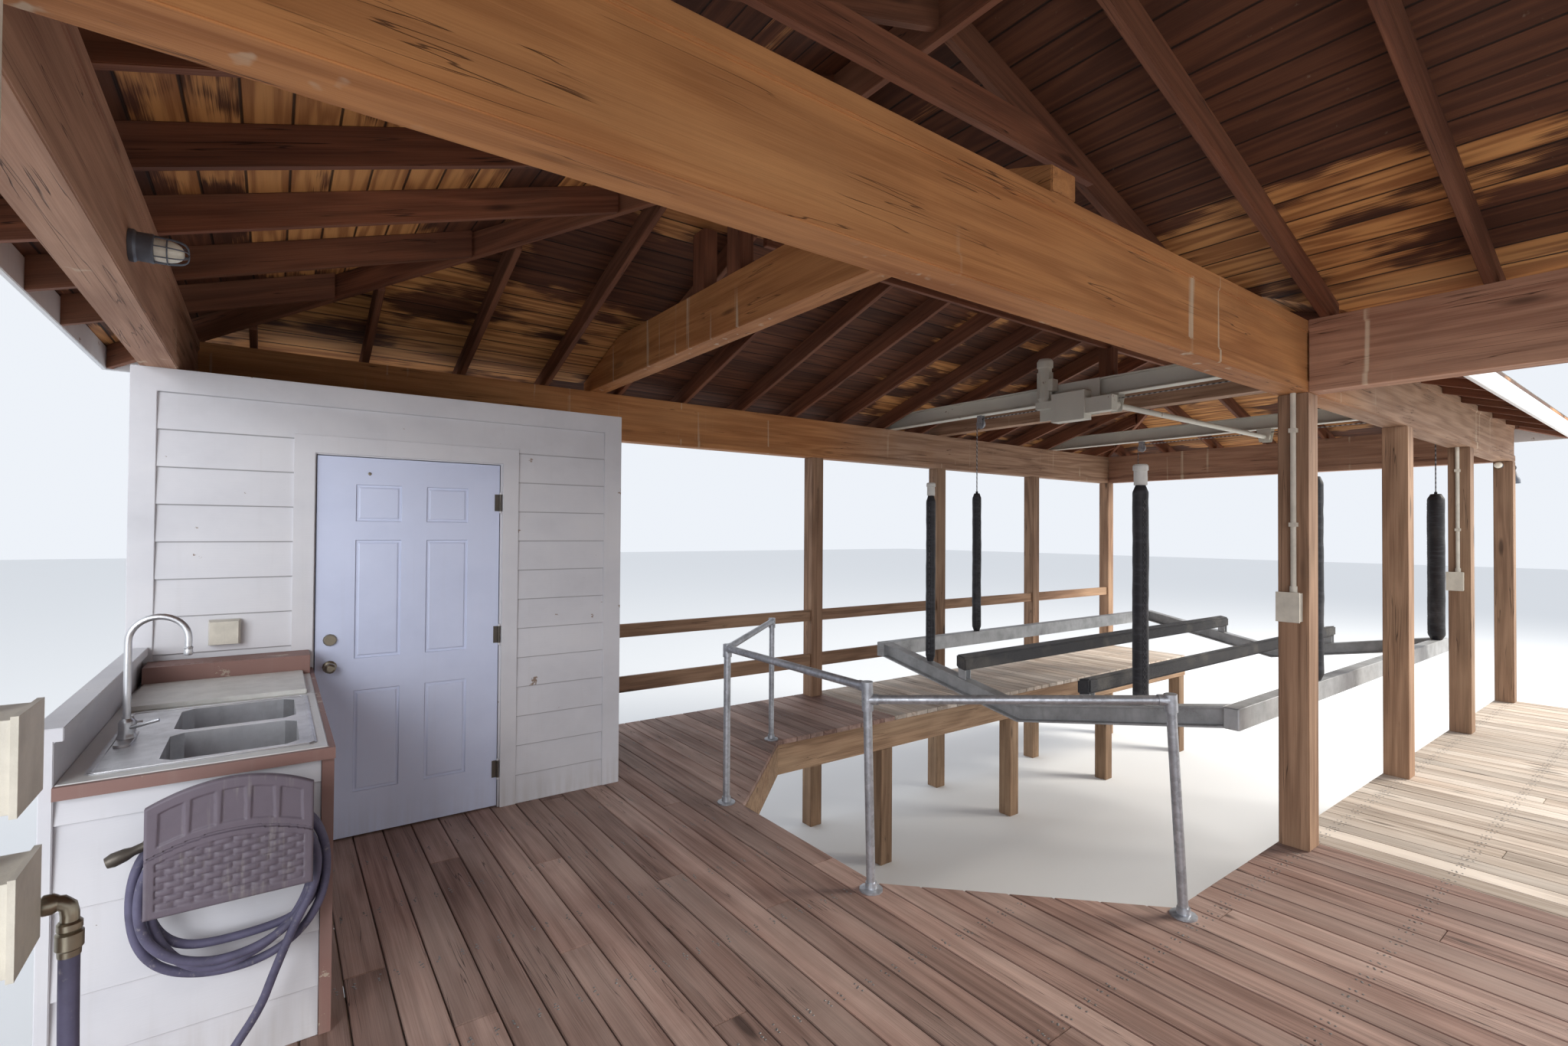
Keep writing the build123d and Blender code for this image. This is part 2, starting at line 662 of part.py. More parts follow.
sink_x = counter_left + 330
sink_y = counter_front + 470
sink_wide = 560.0
sink_long = 840.0
bowl_wide = 355.0
bowl_long = 355.0
bowl_deep = 170.0
bowl_x = sink_x + 55
sheet = 3.0
drain = 42.0
with BuildPart() as counter_top:
    block(counter_left, counter_right, counter_front, counter_end, case_top, counter_height)
    block(
        sink_x - sink_wide / 2 + 12, sink_x + sink_wide / 2 - 12,
        sink_y - sink_long / 2 + 12, sink_y + sink_long / 2 - 12, case_top, counter_height, Mode.SUBTRACT,
    )
counter_top.part.label = "counter_top"
export_step(counter_top.part, "parts/counter_top.step")

# Pressed sink: a raised rim and two bowls with sunk drains
with BuildPart() as sink:
    with BuildSketch(Plane((sink_x, sink_y, counter_height))):
        cut_corners(sink_wide, sink_long, 20)
    extrude(amount=sheet)
    with BuildSketch(Plane((sink_x, sink_y, counter_height + sheet))):
        cut_corners(sink_wide - 12, sink_long - 12, 16)
        cut_corners(sink_wide - 32, sink_long - 32, 10, Mode.SUBTRACT)
    extrude(amount=sheet)
    bowl_floor = counter_height - bowl_deep
    for cy in (sink_y - 200, sink_y + 200):
        with BuildSketch(Plane((bowl_x, cy, bowl_floor))):
            cut_corners(bowl_wide + 2 * sheet, bowl_long + 2 * sheet, 37)
        extrude(amount=bowl_deep)
    for cy in (sink_y - 200, sink_y + 200):
        with BuildSketch(Plane((bowl_x, cy, bowl_floor + sheet))):
            cut_corners(bowl_wide, bowl_long, 35)
        extrude(amount=bowl_deep + 10, mode=Mode.SUBTRACT)
        pipe((bowl_x, cy, bowl_floor + sheet - 1.2), (bowl_x, cy, bowl_floor + sheet), drain, Mode.SUBTRACT)
sink.part.label = "sink"
export_step(sink.part, "parts/sink.step")

# Tap with a swan neck, a lever and a second small handle on its plate
tap_x = sink_x - sink_wide / 2 + 50
tap_y = sink_y - 40
neck = 13.0
neck_bend = 110.0
with BuildPart() as tap:
    z = counter_height + sheet
    with BuildSketch(Plane((tap_x, tap_y, z))):
        cut_corners(56, 260, 18)
    extrude(amount=14)
    turned(
        (tap_x, tap_y, z + 14), (0, 0, 1),
        [(27, 0), (27, 8), (21, 14), (21, 50), (15, 60)],
    )
    bend_turns = [pi * (1 - i / 8) for i in range(9)]
    neck_line = [(tap_x, tap_y, z + 70)]
    for t in bend_turns:
        neck_line.append((tap_x + neck_bend * (1 + cos(t)), tap_y, z + 300 + neck_bend * sin(t)))
    neck_line.append((tap_x + 2 * neck_bend, tap_y, z + 262))
    with BuildLine():
        Polyline(*neck_line)
    with BuildSketch(Plane((tap_x, tap_y, z + 70))):
        RegularPolygon(neck, 8)
    sweep(transition=Transition.RIGHT)
    turned(
        (tap_x + 2 * neck_bend, tap_y, z + 268), (0, 0, -1),
        [(16, 0), (17, 14), (15, 26)],
    )
    profile(
        Plane(origin=(tap_x, tap_y - 16, z + 14), x_dir=(0, -1, 0), z_dir=(-1, 0, 0)),
        [(0, 22), (14, 22), (88, 52), (92, 60), (86, 63), (8, 36), (0, 36)], 16,
    )
    turned(
        (tap_x, tap_y + 98, z + 14), (0, 0, 1),
        [(19, 0), (15, 10), (15, 32), (22, 38), (22, 52), (16, 58)],
    )
tap.part.label = "tap"
export_step(tap.part, "parts/tap.step")

with BuildPart() as counter_ledge:
    block(x_left, counter_left, counter_front, counter_end, deck, deck + 1060)
    block(x_left - 20, counter_left + 20, counter_front, counter_end, deck + 1060, deck + 1098)
counter_ledge.part.label = "counter_ledge"
export_step(counter_ledge.part, "parts/counter_ledge.step")

# Slotted shelf at the wall, open underneath
shelf_deep = 190.0
shelf_high = 90.0
shelf_board = 18.0
shelf_front = counter_end - shelf_deep
slots = 12
slot_step = 34.0
with BuildPart() as counter_shelf:
    z = counter_height
    inner = shelf_high - shelf_board
    trough = [
        (shelf_front, z), (shelf_front + shelf_board, z), (shelf_front + shelf_board, z + inner),
        (counter_end - shelf_board, z + inner), (counter_end - shelf_board, z), (counter_end, z),
        (counter_end, z + shelf_high), (shelf_front, z + shelf_high),
    ]
    section_x(trough, counter_left + 20, counter_right)
    for x in (counter_left + 20, counter_right - shelf_board):
        block(x, x + shelf_board, shelf_front, counter_end, z, z + inner)
    for i in range(slots):
        x = counter_left + 60 + i * slot_step
        y = shelf_front + 34
        block(x, x + 20, y, y + 9, z + inner - 1, z + shelf_high, Mode.SUBTRACT)
counter_shelf.part.label = "counter_shelf"
export_step(counter_shelf.part, "parts/counter_shelf.step")

# White board laid on the top between the sink and the shelf
with BuildPart() as counter_board:
    block(
        counter_left + 25, counter_right - 30, sink_y + sink_long / 2 + 40, shelf_front - 4,
        counter_height, counter_height + 20,
    )
counter_board.part.label = "counter_board"
export_step(counter_board.part, "parts/counter_board.step")

# A many-sided oval in a sketch
def oval(wide, high, drop=0.0):
    turns = [2 * pi * i / 24 for i in range(24)]
    return Polyline(*[(wide * cos(t), high * sin(t) - drop) for t in turns], close=True)


# Hose hanger on the end of the counter: a back plate, an arched saddle and a front panel
hang_x = counter_left + 400
hang_z = deck + 600
panel_y = case_front
hang_out = 190.0
panel_thick = 24.0
saddle_wide = 160.0
saddle_high = 180.0
panel_wide = 194.0
with BuildPart() as hose_hanger:
    block(hang_x - 120, hang_x + 120, panel_y - 10, panel_y, hang_z + 60, hang_z + 150)
    with BuildSketch(Plane(origin=(hang_x, panel_y, hang_z), x_dir=(1, 0, 0), z_dir=(0, -1, 0))):
        with BuildLine():
            oval(saddle_wide, saddle_high)
        make_face()
        with Locations((0, -95)):
            Rectangle(400, 380, mode=Mode.SUBTRACT)
    extrude(amount=hang_out - panel_thick)
    panel_face = panel_y - hang_out
    with BuildSketch(Plane(origin=(hang_x, panel_face + panel_thick, hang_z), x_dir=(1, 0, 0), z_dir=(0, -1, 0))):
        with BuildLine():
            Polyline((-panel_wide, 280), (-panel_wide, -25), (panel_wide, -25), (panel_wide, 280))
            ThreePointArc((panel_wide, 280), (0, 333), (-panel_wide, 280))
        make_face()
    extrude(amount=panel_thick)
    for i in range(4):
        x = hang_x - 170 + i * 88
        block(x, x + 76, panel_face, panel_face + 3, hang_z + 158, hang_z + 252, Mode.SUBTRACT)
hose_hanger.part.label = "hose_hanger"
export_step(hose_hanger.part, "parts/hose_hanger.step")

# Hose: a hank over the saddle, with a short straight end to the nozzle and one to the free length
hose = 12.5

coil_y = panel_y - 25
coil_deep = 125.0
nozzle_way = Vector(-0.95, -0.1, -0.3).normalized()
nozzle_foot = Vector(hang_x - 105, coil_y - 70, hang_z + 185)
nozzle_start = nozzle_foot + nozzle_way * 75
fall_way = Vector(-0.316, 0, -0.949).normalized()
fall_foot = Vector(hang_x + 135, coil_y - 100, hang_z - 196)
fall_start = fall_foot + fall_way * 110
with BuildPart() as hose_coil:
    with BuildSketch(Plane(origin=(hang_x, coil_y, hang_z), x_dir=(1, 0, 0), z_dir=(0, -1, 0))):
        with BuildLine():
            oval(207, 224)
        make_face()
        with BuildLine():
            oval(250, 240, 50)
        make_face()
        with BuildLine():
            oval(saddle_wide + seat, saddle_high + seat)
        make_face(mode=Mode.SUBTRACT)
    extrude(amount=coil_deep)
    pipe(tuple(nozzle_foot), tuple(nozzle_start), hose)
    pipe(tuple(fall_foot), tuple(fall_start), hose)
hose_coil.part.label = "hose_coil"
export_step(hose_coil.part, "parts/hose_coil.step")

with BuildPart() as nozzle:
    turned(
        tuple(nozzle_start), tuple(nozzle_way),
        [(17, 0), (17, 22), (13, 26), (13, 50), (18, 66), (20, 92), (15, 108)],
    )
nozzle.part.label = "nozzle"
export_step(nozzle.part, "parts/nozzle.step")

# Water pipe up the wing's post, with a lever valve where the hose starts
riser_x = xi_left - 30
riser_y = yi_slip + 18
riser = 13.0
valve_x = xi_left + 130
valve_z = deck + 1090
hose_top = valve_z - 74
with BuildPart() as valve:
    pipe((riser_x, riser_y, deck), (riser_x, riser_y, valve_z + riser + 4), riser)
    pipe((riser_x, riser_y, valve_z - 34), (riser_x, riser_y, valve_z + riser + 4), riser + 4)
    pipe((riser_x, riser_y, valve_z), (valve_x, riser_y, valve_z), riser)
    turned(
        (valve_x - 76, riser_y, valve_z), (1, 0, 0),
        [(17, 0), (17, 12), (14, 14), (18, 22), (18, 40), (14, 48), (17, 50), (17, 62)],
    )
    turned(
        (valve_x, riser_y, valve_z + 16), (0, 0, -1),
        [(16, 0), (16, 42), (14, 44), (19, 48), (19, 76), (16, 90)],
    )
    pipe((valve_x - 45, riser_y, valve_z), (valve_x - 45, riser_y, valve_z + 28), 6)
    block(valve_x - 120, valve_x - 36, riser_y - 8, riser_y + 8, valve_z + 24, valve_z + 28)
    for z in (deck + 350, deck + 900):
        block(riser_x - 20, riser_x + 20, yi_slip, riser_y, z, z + 18)
valve.part.label = "valve"
export_step(valve.part, "parts/valve.step")

# Free length of the hose: down from the valve, over the deck and up to the hank
on_deck = deck + hose + 0.5
last_run = fall_start + fall_way * 100
hose_route = [
    (valve_x, riser_y, hose_top), (valve_x, riser_y, deck + 800),
    (valve_x + 10, riser_y + 14, deck + 550), (valve_x + 26, riser_y + 46, deck + 320),
    (valve_x + 48, riser_y + 102, deck + 146), (valve_x + 73, riser_y + 187, deck + 50),
    (valve_x + 99, riser_y + 300, on_deck), (valve_x + 125, riser_y + 432, on_deck),
    (hang_x - 25, coil_y - 670, on_deck), (hang_x - 52, coil_y - 510, on_deck),
    (hang_x - 60, coil_y - 375, on_deck), (hang_x - 63, coil_y - 260, on_deck + 3),
    (hang_x - 47, coil_y - 175, on_deck + 32), (hang_x - 6, coil_y - 120, deck + 105),
    tuple(last_run), tuple(fall_start),
]
route = [Vector(*point) for point in hose_route]
bends = []
for before, here, after in zip(route, route[1:], route[2:]):
    turn = (here - before).get_angle(after - here)
    shorter = min((here - before).length, (after - here).length)
    radius = 0.45 * shorter / tan(radians(turn / 2))
    bends.append(radius)
    print("hose bend", round(turn, 1), "degrees, radius", round(radius))
with BuildPart() as hose_end:
    with BuildLine() as hose_line:
        FilletPolyline(*hose_route, radius=bends)
    with BuildSketch(Plane(origin=route[0], z_dir=route[1] - route[0])):
        RegularPolygon(hose, 8)
    sweep()
hose_end.part.label = "hose_end"
export_step(hose_end.part, "parts/hose_end.step")
hose_length = sum(edge.length for edge in hose_line.edges())
print("hose", round(hose_length), "mm, volume over section", round(hose_end.part.volume / (8 ** 0.5 * hose ** 2)))

# Back guard rails between the posts
with BuildPart() as guard_rails:
    starts = [room_right] + [xi_wing + post + i * bay for i in range(slip_bays)]
    ends = [xi_wing + i * bay for i in range(slip_bays + 1)]
    for x0, x1 in zip(starts, ends):
        block(x0, x1, yi_back + 20, yi_back + 60, deck + 300, deck + 430)
        block(x0, x1, yi_back + 20, yi_back + 60, deck + 760, deck + 870)
guard_rails.part.label = "guard_rails"
export_step(guard_rails.part, "parts/guard_rails.step")

# Galvanised pipe rail round the head of the slip: its last two posts lean, and one rail meets a tee
rail_feet = [
    (slip_end + slip_corner - 25, slip_left + 60), (slip_end - 70, slip_left - slip_corner + 80),
    (slip_end - 70, slip_right + slip_corner - 30), (slip_end + slip_corner - 45, slip_right - 50),
]
rail_lean = [(0, 0), (0, 0), (-30, 0), (-72, 20)]
rail_height = 940.0
tee_drop = 57.0
tube = 21.0
fitting = 26.0
socket = 52.0
heads = []
for foot, lean in zip(rail_feet, rail_lean):
    heads.append(Vector(foot[0] + lean[0], foot[1] + lean[1], deck + rail_height))
with BuildPart() as pipe_rail:
    for foot, head in zip(rail_feet, heads):
        base = Vector(foot[0], foot[1], deck)
        up = (head - base).normalized()
        turned(tuple(base), (0, 0, 1), [(55, 0), (55, 8), (29, 12), (27, 38)])
        pipe(tuple(base + up * 14), tuple(head), tube)
        low = socket + tee_drop if head == heads[2] else socket
        pipe(tuple(head - up * low), tuple(head + up * fitting), fitting + 1)
    tee = heads[2] - Vector(0, 0, tee_drop)
    for a, b in ((heads[0], heads[1]), (heads[1], heads[2]), (tee, heads[3])):
        way = (b - a).normalized()
        pipe(tuple(a), tuple(b), tube)
        pipe(tuple(a), tuple(a + way * socket), fitting - 1)
        pipe(tuple(b), tuple(b - way * socket), fitting - 1)
pipe_rail.part.label = "pipe_rail"
export_step(pipe_rail.part, "parts/pipe_rail.step")

# Lift beams on the headers, their ends cut to the roof
lift_deep = 150.0
lift_wide = 100.0
cut = (lift_deep - rafter_rise + 12) / pitch
cope = [
    (y_slip - 1, beam_top - 1), (y_back + 1, beam_top - 1), (y_back + 1, under(-post) + rafter_rise - 12),
    (yi_back - cut, beam_top + lift_deep), (yi_slip + cut, beam_top + lift_deep),
    (y_slip - 1, under(-post) + rafter_rise - 12),
]
with BuildPart() as lift_beams:
    for x in (lift_near, lift_far):
        points = [(x - 50, beam_top), (x + 50, beam_top), (x + 50, beam_top + 10), (x + 4, beam_top + 10)]
        points += [(x + 4, beam_top + lift_deep - 10), (x + 50, beam_top + lift_deep - 10)]
        points += [(x + 50, beam_top + lift_deep), (x - 50, beam_top + lift_deep)]
        points += [(x - 50, beam_top + lift_deep - 10), (x - 4, beam_top + lift_deep - 10)]
        points += [(x - 4, beam_top + 10), (x - 50, beam_top + 10)]
        section_y(points, y_slip + 5, y_back - 5)
    with BuildPart(mode=Mode.INTERSECT):
        section_x(cope, x_left, x_far)
lift_beams.part.label = "lift_beams"
export_step(lift_beams.part, "parts/lift_beams.step")

# Pulleys hang from the lift beams, set inward so that each cable falls on its arm
wire = 5.0
groove = 40.0
sheave = 48.0
cable_round = groove + wire + seat
pulley_z = beam_top - 80
run_z = pulley_z + cable_round
corners = [(x, y) for x in (lift_near, lift_far) for y in (arm_right, arm_left)]
with BuildPart() as pulleys:
    for x, y in corners:
        centre = y + cable_round if y == arm_right else y - cable_round
        block(x - 24, x - 18, centre - 28, centre + 28, pulley_z - 30, beam_top)
        block(x + 18, x + 24, centre - 28, centre + 28, pulley_z - 30, beam_top)
        pipe((x - 30, centre, pulley_z), (x + 30, centre, pulley_z), 10)
        turned(
            (x - 12, centre, pulley_z), (1, 0, 0),
            [(sheave, 0), (groove, 8), (groove, 16), (sheave, 24)],
        )
pulleys.part.label = "pulleys"
export_step(pulleys.part, "parts/pulleys.step")

# Winding shaft in line with the cables: a drum between two hangers at each lift beam
drive_y = ridge_y - 490
drum = 42.0
drive_z = run_z - wire - seat - drum
shaft = 24.0
with BuildPart() as drive_tube:
    pipe((lift_near - 58, drive_y, drive_z), (lift_far + 60, drive_y, drive_z), shaft)
    for x in (lift_near, lift_far):
        pipe((x - 34, drive_y, drive_z), (x + 34, drive_y, drive_z), drum)
        for side in (-46, 40):
            section_x(
                [
                    (drive_y - 70, beam_top), (drive_y - 45, drive_z - 55), (drive_y + 45, drive_z - 55),
                    (drive_y + 70, beam_top),
                ],
                x + side, x + side + 6,
            )
drive_tube.part.label = "drive_tube"
export_step(drive_tube.part, "parts/drive_tube.step")

# Upright finned motor on its gearbox, bolted to a plate on the near lift beam
plate_x = lift_near - lift_wide / 2
box_x = plate_x - 8 - 110
motor_x = plate_x - 8 - 62
motor_y = drive_y + 550
motor_radius = 56.0
motor_foot = beam_top
motor_tall = 300.0
with BuildPart() as lift_motor:
    block(plate_x - 8, plate_x, drive_y + 90, drive_y + 640, beam_top - 150, beam_top + lift_deep)
    block(box_x, plate_x - 8, drive_y + 160, drive_y + 460, beam_top - 190, beam_top + 50)
    block(box_x + 20, plate_x - 8, drive_y - 62, drive_y + 160, drive_z - 62, drive_z + 62)
    block(box_x, plate_x - 8, drive_y + 460, motor_y + 62, motor_foot - 60, motor_foot)
    pipe((motor_x, motor_y, motor_foot), (motor_x, motor_y, motor_foot + motor_tall), motor_radius)
    for i in range(12):
        turn = radians(i * 30)
        out = (cos(turn), sin(turn), 0)
        fin = Plane(origin=(motor_x, motor_y, motor_foot + 30), x_dir=out, z_dir=(sin(turn), -cos(turn), 0))
        profile(fin, [(50, 0), (66, 0), (66, motor_tall - 70), (50, motor_tall - 70)], 4)
    turned(
        (motor_x, motor_y, motor_foot + motor_tall), (0, 0, 1),
        [(66, 0), (66, 54), (54, 74)],
    )
    block(motor_x - 40, motor_x + 40, motor_y - 98, motor_y - 50, motor_foot + 90, motor_foot + 190)
lift_motor.part.label = "lift_motor"
export_step(lift_motor.part, "parts/lift_motor.step")

# Level runs of the cables over the drums and round the pulleys
with BuildPart() as cable_runs:
    for x in (lift_near, lift_far):
        with BuildLine():
            FilletPolyline(
                (x, arm_right, pulley_z), (x, arm_right, run_z), (x, arm_left, run_z), (x, arm_left, pulley_z),
                radius=cable_round - 0.05,
            )
        with BuildSketch(Plane((x, arm_right, pulley_z))):
            RegularPolygon(wire, 6)
        sweep()
cable_runs.part.label = "cable_runs"
export_step(cable_runs.part, "parts/cable_runs.step")

# Lifting cables, from the pulleys down to the sleeves
sleeve_top = deck + 2060.0
with BuildPart() as cables:
    for x, y in corners:
        pipe((x, y, sleeve_top), (x, y, pulley_z), wire)
cables.part.label = "cables"
export_step(cables.part, "parts/cables.step")

# Cradle: two long box arms with end caps, and two dipped cross beams of I section
cap = 6.0
with BuildPart() as cradle_arms:
    for y in (arm_right, arm_left):
        block(cradle_near, cradle_far, y - arm_wide / 2, y + arm_wide / 2, arm_top - arm_deep, arm_top)
        for x in (cradle_near - cap, cradle_far):
            block(x, x + cap, y - arm_wide / 2 + 4, y + arm_wide / 2 - 4, arm_top - arm_deep + 4, arm_top - 4)
cradle_arms.part.label = "cradle_arms"
export_step(cradle_arms.part, "parts/cradle_arms.step")

in_right = arm_right + arm_wide / 2
in_left = arm_left - arm_wide / 2
keel_y = (in_right + in_left) / 2
cross_wide = 100.0
flange = 12.0
web = 12.0
bunk_out = 500.0
bunk_rise = 70.0
fall = keel_drop / (keel_y - in_right)


def dipped(top, bottom):
    return [
        (in_right, arm_top - top), (keel_y, arm_top - top - keel_drop), (in_left, arm_top - top),
        (in_left, arm_top - bottom), (keel_y, arm_top - bottom - keel_drop), (in_right, arm_top - bottom),
    ]


with BuildPart() as cradle_cross:
    for x in (cradle_near, cradle_far - cross_wide):
        section_x(dipped(0, arm_deep), x, x + cross_wide)
        for a in (x, x + (cross_wide + web) / 2):
            section_x(dipped(flange, arm_deep - flange), a, a + (cross_wide - web) / 2, Mode.SUBTRACT)
        for side in (-1, 1):
            low = arm_top - keel_drop + fall * (bunk_out - 35)
            high = arm_top - keel_drop + fall * (bunk_out + 35)
            a = keel_y + side * (bunk_out - 35)
            b = keel_y + side * (bunk_out + 35)
            for near in (x + 18, x + cross_wide - 26):
                section_x([(a, low - 2), (b, high - 2), (b, high + bunk_rise), (a, low + bunk_rise)], near, near + 8)
cradle_cross.part.label = "cradle_cross"
export_step(cradle_cross.part, "parts/cradle_cross.step")

# Carpeted bunks lie on the brackets of the cross beams
with BuildPart() as bunks:
    for side in (-1, 1):
        a = keel_y + side * (bunk_out - 45)
        b = keel_y + side * (bunk_out + 45)
        za = arm_top - keel_drop + fall * (bunk_out - 45) + bunk_rise
        zb = arm_top - keel_drop + fall * (bunk_out + 45) + bunk_rise
        section_x([(a, za), (b, zb), (b, zb + 100), (a, za + 100)], cradle_near, cradle_far)
bunks.part.label = "bunks"
export_step(bunks.part, "parts/bunks.step")

# Padded guide posts on the near cross beam, and padded sleeves round the lower cables
guide_out = 845.0
guide_top = deck + 1955.0
guides = ((keel_y - guide_out, 50.0), (keel_y + guide_out, 42.0))
sleeve_sizes = (50.0, 46.0, 66.0, 50.0)
with BuildPart() as sleeves:
    for y, radius in guides:
        pipe((cradle_near + 50, y, arm_top - keel_drop), (cradle_near + 50, y, guide_top), radius)
    section_x(
        [(y_slip, 0), (y_back, 0), (in_left, arm_top), (keel_y, arm_top - keel_drop), (in_right, arm_top)],
        cradle_near - 20, cradle_near + 120, Mode.SUBTRACT,
    )
    for (x, y), radius in zip(corners, sleeve_sizes):
        pipe((x, y, arm_top), (x, y, sleeve_top - 20), radius)
        pipe((x, y, sleeve_top - 20), (x, y, sleeve_top), 12)
sleeves.part.label = "sleeves"
export_step(sleeves.part, "parts/sleeves.step")

# White pipe ends with caps on the guide posts
with BuildPart() as guide_caps:
    turned(
        (cradle_near + 50, guides[0][0], guide_top), (0, 0, 1),
        [(38, 0), (38, 88), (44, 90), (44, 118), (36, 128)],
    )
    turned(
        (cradle_near + 50, guides[1][0], guide_top), (0, 0, 1),
        [(32, 0), (32, 70), (37, 72), (37, 96), (30, 104)],
    )
guide_caps.part.label = "guide_caps"
export_step(guide_caps.part, "parts/guide_caps.step")

# Lamps: a caged one on the side beam, a shaded one and a bare bulb on the last slip post
lamp_y = room_front - 1400
lamp_z = beam_bottom + 140
shade_y = y_slip + 30
shade_z = beam_bottom - 60
bulb_y = y_slip + 90
cage = [
    (56, 44), (110, 44), (135, 33), (148, 12), (148, -12), (135, -33), (110, -44), (56, -44),
    (56, -40), (109, -40), (132, -30), (144, -11), (144, 11), (132, 30), (109, 40), (56, 40),
]
with BuildPart() as cage_lamp:
    lamp_x = xi_left - recess + seat
    turned(
        (lamp_x, lamp_y, lamp_z), (1, 0, 0),
        [(52, 0), (52, 14), (46, 22), (46, 58), (34, 60), (36, 90), (32, 116), (18, 132)],
    )
    hoop = Plane(origin=(lamp_x + 92, lamp_y, lamp_z), z_dir=(1, 0, 0))
    band = Face(Wire.make_polygon(ring(hoop, 44)), [Wire.make_polygon(ring(hoop, 40))])
    extrude(band, amount=4, dir=(1, 0, 0))
    profile(Plane(origin=(lamp_x, lamp_y, lamp_z), x_dir=(1, 0, 0), z_dir=(0, -1, 0)), cage, 4)
    profile(Plane(origin=(lamp_x, lamp_y, lamp_z), x_dir=(1, 0, 0), z_dir=(0, 0, 1)), cage, 4)
    turned((x_far, shade_y, shade_z), (1, 0, 0), [(40, 0), (36, 8)])
    pipe((x_far, shade_y, shade_z), (x_far + 95, shade_y, shade_z), 9)
    turned(
        (x_far + 95, shade_y, shade_z - 4), (0, 0, -1),
        [(20, -12), (22, 20), (28, 42), (54, 110), (56, 148)],
    )
    turned((x_far + 95, shade_y, shade_z - 4), (0, 0, -1), [(24, 46), (51, 112), (53, 149)], Mode.SUBTRACT)
    turned(
        (xi_far, bulb_y, beam_bottom - 40), (-1, 0, 0),
        [(28, 0), (28, 10), (20, 14), (20, 44), (17, 50), (30, 72), (34, 92), (27, 112)],
    )
cage_lamp.part.label = "cage_lamp"
export_step(cage_lamp.part, "parts/cage_lamp.step")
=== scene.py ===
# %% [markdown]
# # A timber boathouse on piles
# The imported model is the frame. Each piece below rides on one of its bodies, and most
# pieces replace a plain CAD node with the same form in finer detail. Lengths are in metres.

# %% Load the frame
import math
from functools import cached_property
from math import copysign, cos, pi, radians, sin
import bmesh
import bpy
import numpy as np
from mathutils import Matrix, Vector


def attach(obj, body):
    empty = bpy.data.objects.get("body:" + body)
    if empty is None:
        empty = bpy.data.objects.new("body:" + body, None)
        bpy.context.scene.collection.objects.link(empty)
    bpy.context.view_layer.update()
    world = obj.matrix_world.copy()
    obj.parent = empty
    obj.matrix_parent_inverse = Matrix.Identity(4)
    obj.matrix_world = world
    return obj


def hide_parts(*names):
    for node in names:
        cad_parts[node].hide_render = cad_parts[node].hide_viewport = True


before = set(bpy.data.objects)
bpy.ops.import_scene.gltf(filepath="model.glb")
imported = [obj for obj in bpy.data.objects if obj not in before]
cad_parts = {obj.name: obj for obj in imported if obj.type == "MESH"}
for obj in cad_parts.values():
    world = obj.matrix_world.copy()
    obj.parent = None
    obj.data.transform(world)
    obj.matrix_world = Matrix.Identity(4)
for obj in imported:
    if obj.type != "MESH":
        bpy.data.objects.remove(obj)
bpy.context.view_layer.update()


def add(name, data):
    obj = bpy.data.objects.new(name, data)
    bpy.context.scene.collection.objects.link(obj)
    return obj


# %% [markdown]
# ## Camera
# The camera stands under the roof, 1.65 m above the deck, and looks across the slip.
# Its turn, tilt and lens come from the vanishing points of the beams and posts. A view set
# by eye would look alike, but lines could not be compared with the photograph.

# %% Camera
EYE = (-4.8, -1.64, 2.955)
FOCAL_PIXELS, PHOTO_WIDTH = 914.086, 2048
yaw, pitch, roll = radians(36.167), radians(0.7305), radians(0.3721)
ahead = Vector((sin(yaw) * cos(pitch), cos(yaw) * cos(pitch), sin(pitch)))
side = Vector((cos(yaw), -sin(yaw), 0))
up = side.cross(ahead)
right = cos(roll) * side + sin(roll) * up
top = -sin(roll) * side + cos(roll) * up
camera = add("camera", bpy.data.cameras.new("camera"))
camera.data.sensor_width = 36
camera.data.lens = FOCAL_PIXELS / PHOTO_WIDTH * 36
camera.data.clip_start, camera.data.clip_end = 0.05, 300
turn = Matrix((right, top, -ahead)).transposed().to_4x4()
camera.matrix_world = Matrix.Translation(EYE) @ turn
bpy.context.scene.camera = camera
print("camera:", round(camera.data.lens, 2), "mm lens")

# %% [markdown]
# ## Shader arithmetic
# `Val` wraps a socket, so that a material's maths reads as plain arithmetic.
# `Paint` holds one material and has one method for every other node. Linking every node by
# hand gives the same material, but takes several lines for each sum.


# %% Shader classes
MAT = {}


class Val:
    """The output of a node."""

    def __init__(self, paint, socket):
        self.paint, self.socket = paint, socket

    def op(self, kind, *others):
        return self.paint.val("Math", dict(enumerate((self, *others))), operation=kind)

    def __rsub__(self, other):
        return self * -1 + other

    def ramp(self, low, high):
        """0 at low and 1 at high, smooth between them; low may be the larger."""
        inputs = {"Value": self, "From Min": low, "From Max": high}
        return self.paint.val("MapRange", inputs, "Result", interpolation_type="SMOOTHSTEP")


for method, kind in {
    "__add__": "ADD", "__radd__": "ADD", "__sub__": "SUBTRACT", "__mul__": "MULTIPLY",
    "__truediv__": "DIVIDE", "sin": "SINE", "abs": "ABSOLUTE", "fract": "FRACT", "floor": "FLOOR",
}.items():
    setattr(Val, method, lambda self, *others, kind=kind: self.op(kind, *others))


